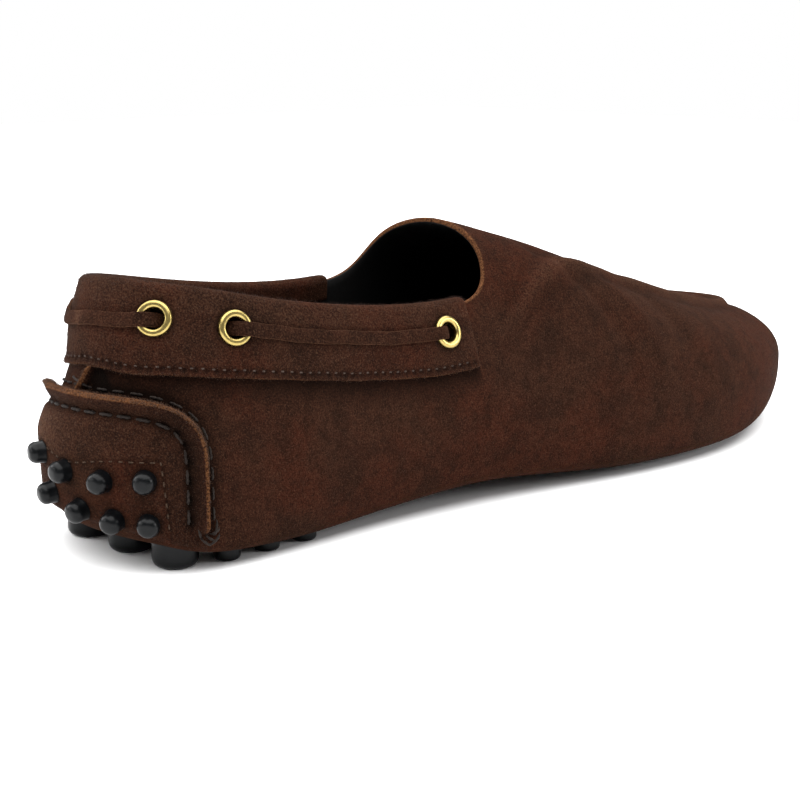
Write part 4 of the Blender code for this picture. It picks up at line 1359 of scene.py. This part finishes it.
def strip(path, normals, width, thick):
    """A flat rounded oblong carried along a path with its broad side on the normals."""
    ahead = unit(np.gradient(path, axis=0))
    side = unit(np.cross(normals, ahead))
    lift = np.cross(ahead, side)
    turn = np.linspace(0.0, 2 * math.pi, LACE_SIDES, endpoint=False)
    wide = np.sign(np.cos(turn)) * np.abs(np.cos(turn)) ** 0.45 * width / 2
    deep = np.sign(np.sin(turn)) * np.abs(np.sin(turn)) ** 0.6 * thick / 2
    points = path[:, None] + side[:, None] * wide[:, None] + lift[:, None] * deep[:, None]
    points = np.concatenate((
        np.broadcast_to(path[:1, None], points[:1].shape), points,
        np.broadcast_to(path[-1:, None], points[:1].shape),
    ))
    quads = grid_quads(len(points), LACE_SIDES, wrap_columns=True)
    edge = np.broadcast_to(smooth((np.abs(wide) / (width / 2) - 0.9) / 0.1), points.shape[:2])
    return points, quads, edge


runs = {
    "lace_back": ("rear_inner", "rear_outer"),
    "lace_outer": ("side_outer", "front_outer"),
    "lace_inner": ("front_inner", "side_inner"),
}
for name, (first, last) in runs.items():
    path, normals = lace_path(EYELETS[first], EYELETS[last])
    points, quads, edge = strip(path, normals, LACE_WIDTH, LACE_THICK)
    pale_nap = bump(np.linspace(0.0, 1.0, len(points)), RUBBED_AT, RUBBED_WIDTH)[:, None]
    frayed = 0.4 * pale_nap * (name == "lace_back")
    marks = marks_of(points.shape[:2], 0.45 * edge + frayed, 0.0, 0.15 * edge)
    lace = put_mesh(name + "_suede", points, quads, [lace_suede], marks)
    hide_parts(name)

# %% [markdown]
# Rubber pebbles are moulded on a sheet behind the suede and stand out through holes. Those on
# the heel's back are short domed posts. One profile, turned about the wall's normal at each
# place, gives a whole row as one mesh.

# %% Pebbles up the heel's back
HEEL_BACK_RADIUS = 2.7
HEEL_BACK_REACH = 5.9
HEEL_BACK_DOME = 2.0
DOME_FULLNESS = 0.62
POST_SIDES = 40
post_turn = np.linspace(0.0, math.pi / 2, 15)
post = np.concatenate((
    ((HEEL_BACK_RADIUS + 0.5, 0.6), (HEEL_BACK_RADIUS + 0.12, 2.2), (HEEL_BACK_RADIUS, 2.9)),
    np.stack((
        HEEL_BACK_RADIUS * np.cos(post_turn) ** DOME_FULLNESS,
        HEEL_BACK_REACH - HEEL_BACK_DOME * (1 - np.sin(post_turn) ** 1.15),
    ), axis=-1),
))
for row, places in HEEL_BACK_ROWS.items():
    u, level = np.array(places).T
    v = wall_level(u, level)
    points, quads = turned(post, surface(u, v), frame_at(u, v)[0], POST_SIDES)
    pebbles = put_mesh("heel_back_pebbles_" + row, points, quads, [rubber])
    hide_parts(*["heel_back_pebble_" + row + "_" + str(i + 1) for i in range(len(places))])

# %% [markdown]
# The pebbles underneath stand on the floor and carry the shoe. Their lower rim is rounded, and
# their top follows the slope of the suede, so that each runs a little way into it. Their places
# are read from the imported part.

# %% Pebbles under the shoe
PEBBLE_SIDES = 48
PEBBLE_ROOT = 0.6


def under_height(x, y):
    """Height of the suede over a place on the floor, from its distance to the outline."""
    u = np.linspace(0.0, TURN_COUNT, 1500)
    away = np.hypot(x[..., None] - around("x", u), y[..., None] - around("along", u))
    level = np.clip(1 - away.min(axis=-1) / EDGE_TURN, 0.0, 1.0) ** (1 / EDGE_FULLNESS)
    turned_up = 1 - np.cos(np.arcsin(level)) ** EDGE_FULLNESS
    return bottom_at(y) + around("rise", u[away.argmin(axis=-1)]) * turned_up


def floor_pebble(x, y, radius, bevel_in, bevel_up):
    """A post from the floor into the suede, whose slope its top follows."""
    turn = np.linspace(0.0, 2 * math.pi, PEBBLE_SIDES, endpoint=False)
    bend = np.radians(np.linspace(0.0, 90.0, 7))
    rim = [(0.0, 0.0)] + [
        (radius - bevel_in * (1 - math.sin(a)), bevel_up * (1 - math.cos(a))) for a in bend
    ]
    size = np.array([row[0] for row in rim] + [radius, radius, radius])[:, None]
    ring_x = x + size * np.cos(turn)
    ring_y = y + size * np.sin(turn)
    ring_z = np.empty_like(ring_x)
    ring_z[:len(rim)] = np.array([row[1] for row in rim])[:, None]
    top = under_height(ring_x[-1], ring_y[-1]) + PEBBLE_ROOT
    ring_z[len(rim):] = bevel_up + (top - bevel_up) * np.array((0.3, 0.7, 1.0))[:, None]
    ring_z[len(rim):] = np.maximum(ring_z[len(rim):], bevel_up + 0.05)
    points = np.stack((ring_x, ring_y, ring_z), axis=-1)
    return points.reshape(-1, 3), grid_quads(len(size), PEBBLE_SIDES, wrap_columns=True)


for kind, bevel_in, bevel_up in (("heel", 2.0, 2.3), ("sole", 1.0, 1.1)):
    names = [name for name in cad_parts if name.startswith(kind + "_pebble_")]
    parts = []
    for name in names:
        low, high = (np.array(corner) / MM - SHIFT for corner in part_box(name))
        middle = (low + high) / 2
        radius = (high[0] - low[0]) / 2
        parts.append(floor_pebble(middle[0], middle[1], radius, bevel_in, bevel_up))
    points, quads = joined(parts)
    pebbles = put_mesh(kind + "_pebbles", points, quads, [rubber])
    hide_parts(*names)

# %% [markdown]
# Suede ends in loose fibres: they stand off its cut edges and soften its outline. They are made
# as tiny three-sided spikes, each with its root on a surface that was worked out above, and
# scattered with a fixed seed, so that every run gives the same fuzz. A particle system would be
# quicker to set up, but its fibres would not be part of the mesh.

# %% Tools for loose fibres
SPIKE_ROOT = 0.1
SPIKE_SPREAD = 0.55
chance = np.random.default_rng(11)
cut_fibre = plain_finish("cut suede fibres", "#2C1A0E", "#553720", 0.6, 0.02, Roughness=0.95)
nap_fibre = plain_finish("suede nap fibres", "#20110A", "#3E271B", 0.6, 0.02, Roughness=0.95)


def spikes(roots, ways, length, width):
    """Three-sided spikes: a small triangle about each root and a tip along its way."""
    count = len(roots)
    ways = unit(ways + SPIKE_SPREAD * chance.normal(size=(count, 3)))
    side = unit(np.cross(ways, chance.normal(size=(count, 3))))
    lift = np.cross(ways, side)
    turn = np.radians((0.0, 120.0, 240.0))
    ring = side[:, None] * np.cos(turn)[:, None] + lift[:, None] * np.sin(turn)[:, None]
    tips = roots + ways * length * chance.uniform(0.5, 1.2, (count, 1))
    feet = roots[:, None] - ways[:, None] * SPIKE_ROOT + ring * width / 2
    faces = np.array(((0, 1, 3), (1, 2, 3), (2, 0, 3), (0, 2, 1)))
    return copies(np.concatenate((feet, tips[:, None]), axis=1), faces)


def scattered(points, ways, count, length, width, allowed=None):
    """Spikes at random places of a grid of points, along the ways given there."""
    points, ways = points.reshape(-1, 3), np.broadcast_to(ways, points.shape).reshape(-1, 3)
    ready = np.arange(len(points)) if allowed is None else np.flatnonzero(allowed)
    picks = chance.choice(ready, count)
    return spikes(points[picks] + 0.2 * chance.normal(size=(count, 3)), ways[picks], length, width)


print("fibre finishes:", cut_fibre.name, "and", nap_fibre.name)

# %% [markdown]
# Cut edges get short stiff tufts: the lip of the patch, the standing seam and the band's lower
# edge. The band and the patch get finer nap all over, which shows only where it stands against
# the light. The upper, which is far larger, has its nap in the material alone.

# %% Loose fibres
rim = np.concatenate((outer_face[-4:], edge_rows))
rim_ways = edge_up * 0.7 + frame_at(patch_u, patch_top)[0] * 0.5
rim_sewn = np.broadcast_to(sewn[-1] > 0.6, rim.shape[:2])
ridge_ways = frame_at(ridge_u, ridge_v)[0]
ridge_top = np.broadcast_to(hump > 0.7, ridge_out.shape)
band_ways = frame_at(band_u, band_low)
tufts = joined((
    scattered(rim, rim_ways, 7000, 0.5, 0.07, rim_sewn.ravel()),
    scattered(ridge_face, ridge_ways, 400, 0.5, 0.07, ridge_top.ravel()),
    scattered(band_face[:2], band_ways[0] * 0.5 - band_ways[1] * 0.7, 1800, 0.3, 0.06),
))
cut_fuzz = put_mesh("cut_edge_fibres", *tufts, [cut_fibre], weld=0.0005)
off_brass = eyelet_away > 4.6
nap = joined((
    scattered(fold, fold - fold_middle, 9000, 0.4, 0.06),
    scattered(band_face, frame_at(band_u, face_v)[0], 9000, 0.35, 0.06, off_brass.ravel()),
    scattered(outer_face, frame_at(patch_u, patch_v)[0], 9000, 0.35, 0.06),
))
nap_fuzz = put_mesh("nap_fibres", *nap, [nap_fibre], weld=0.0005)
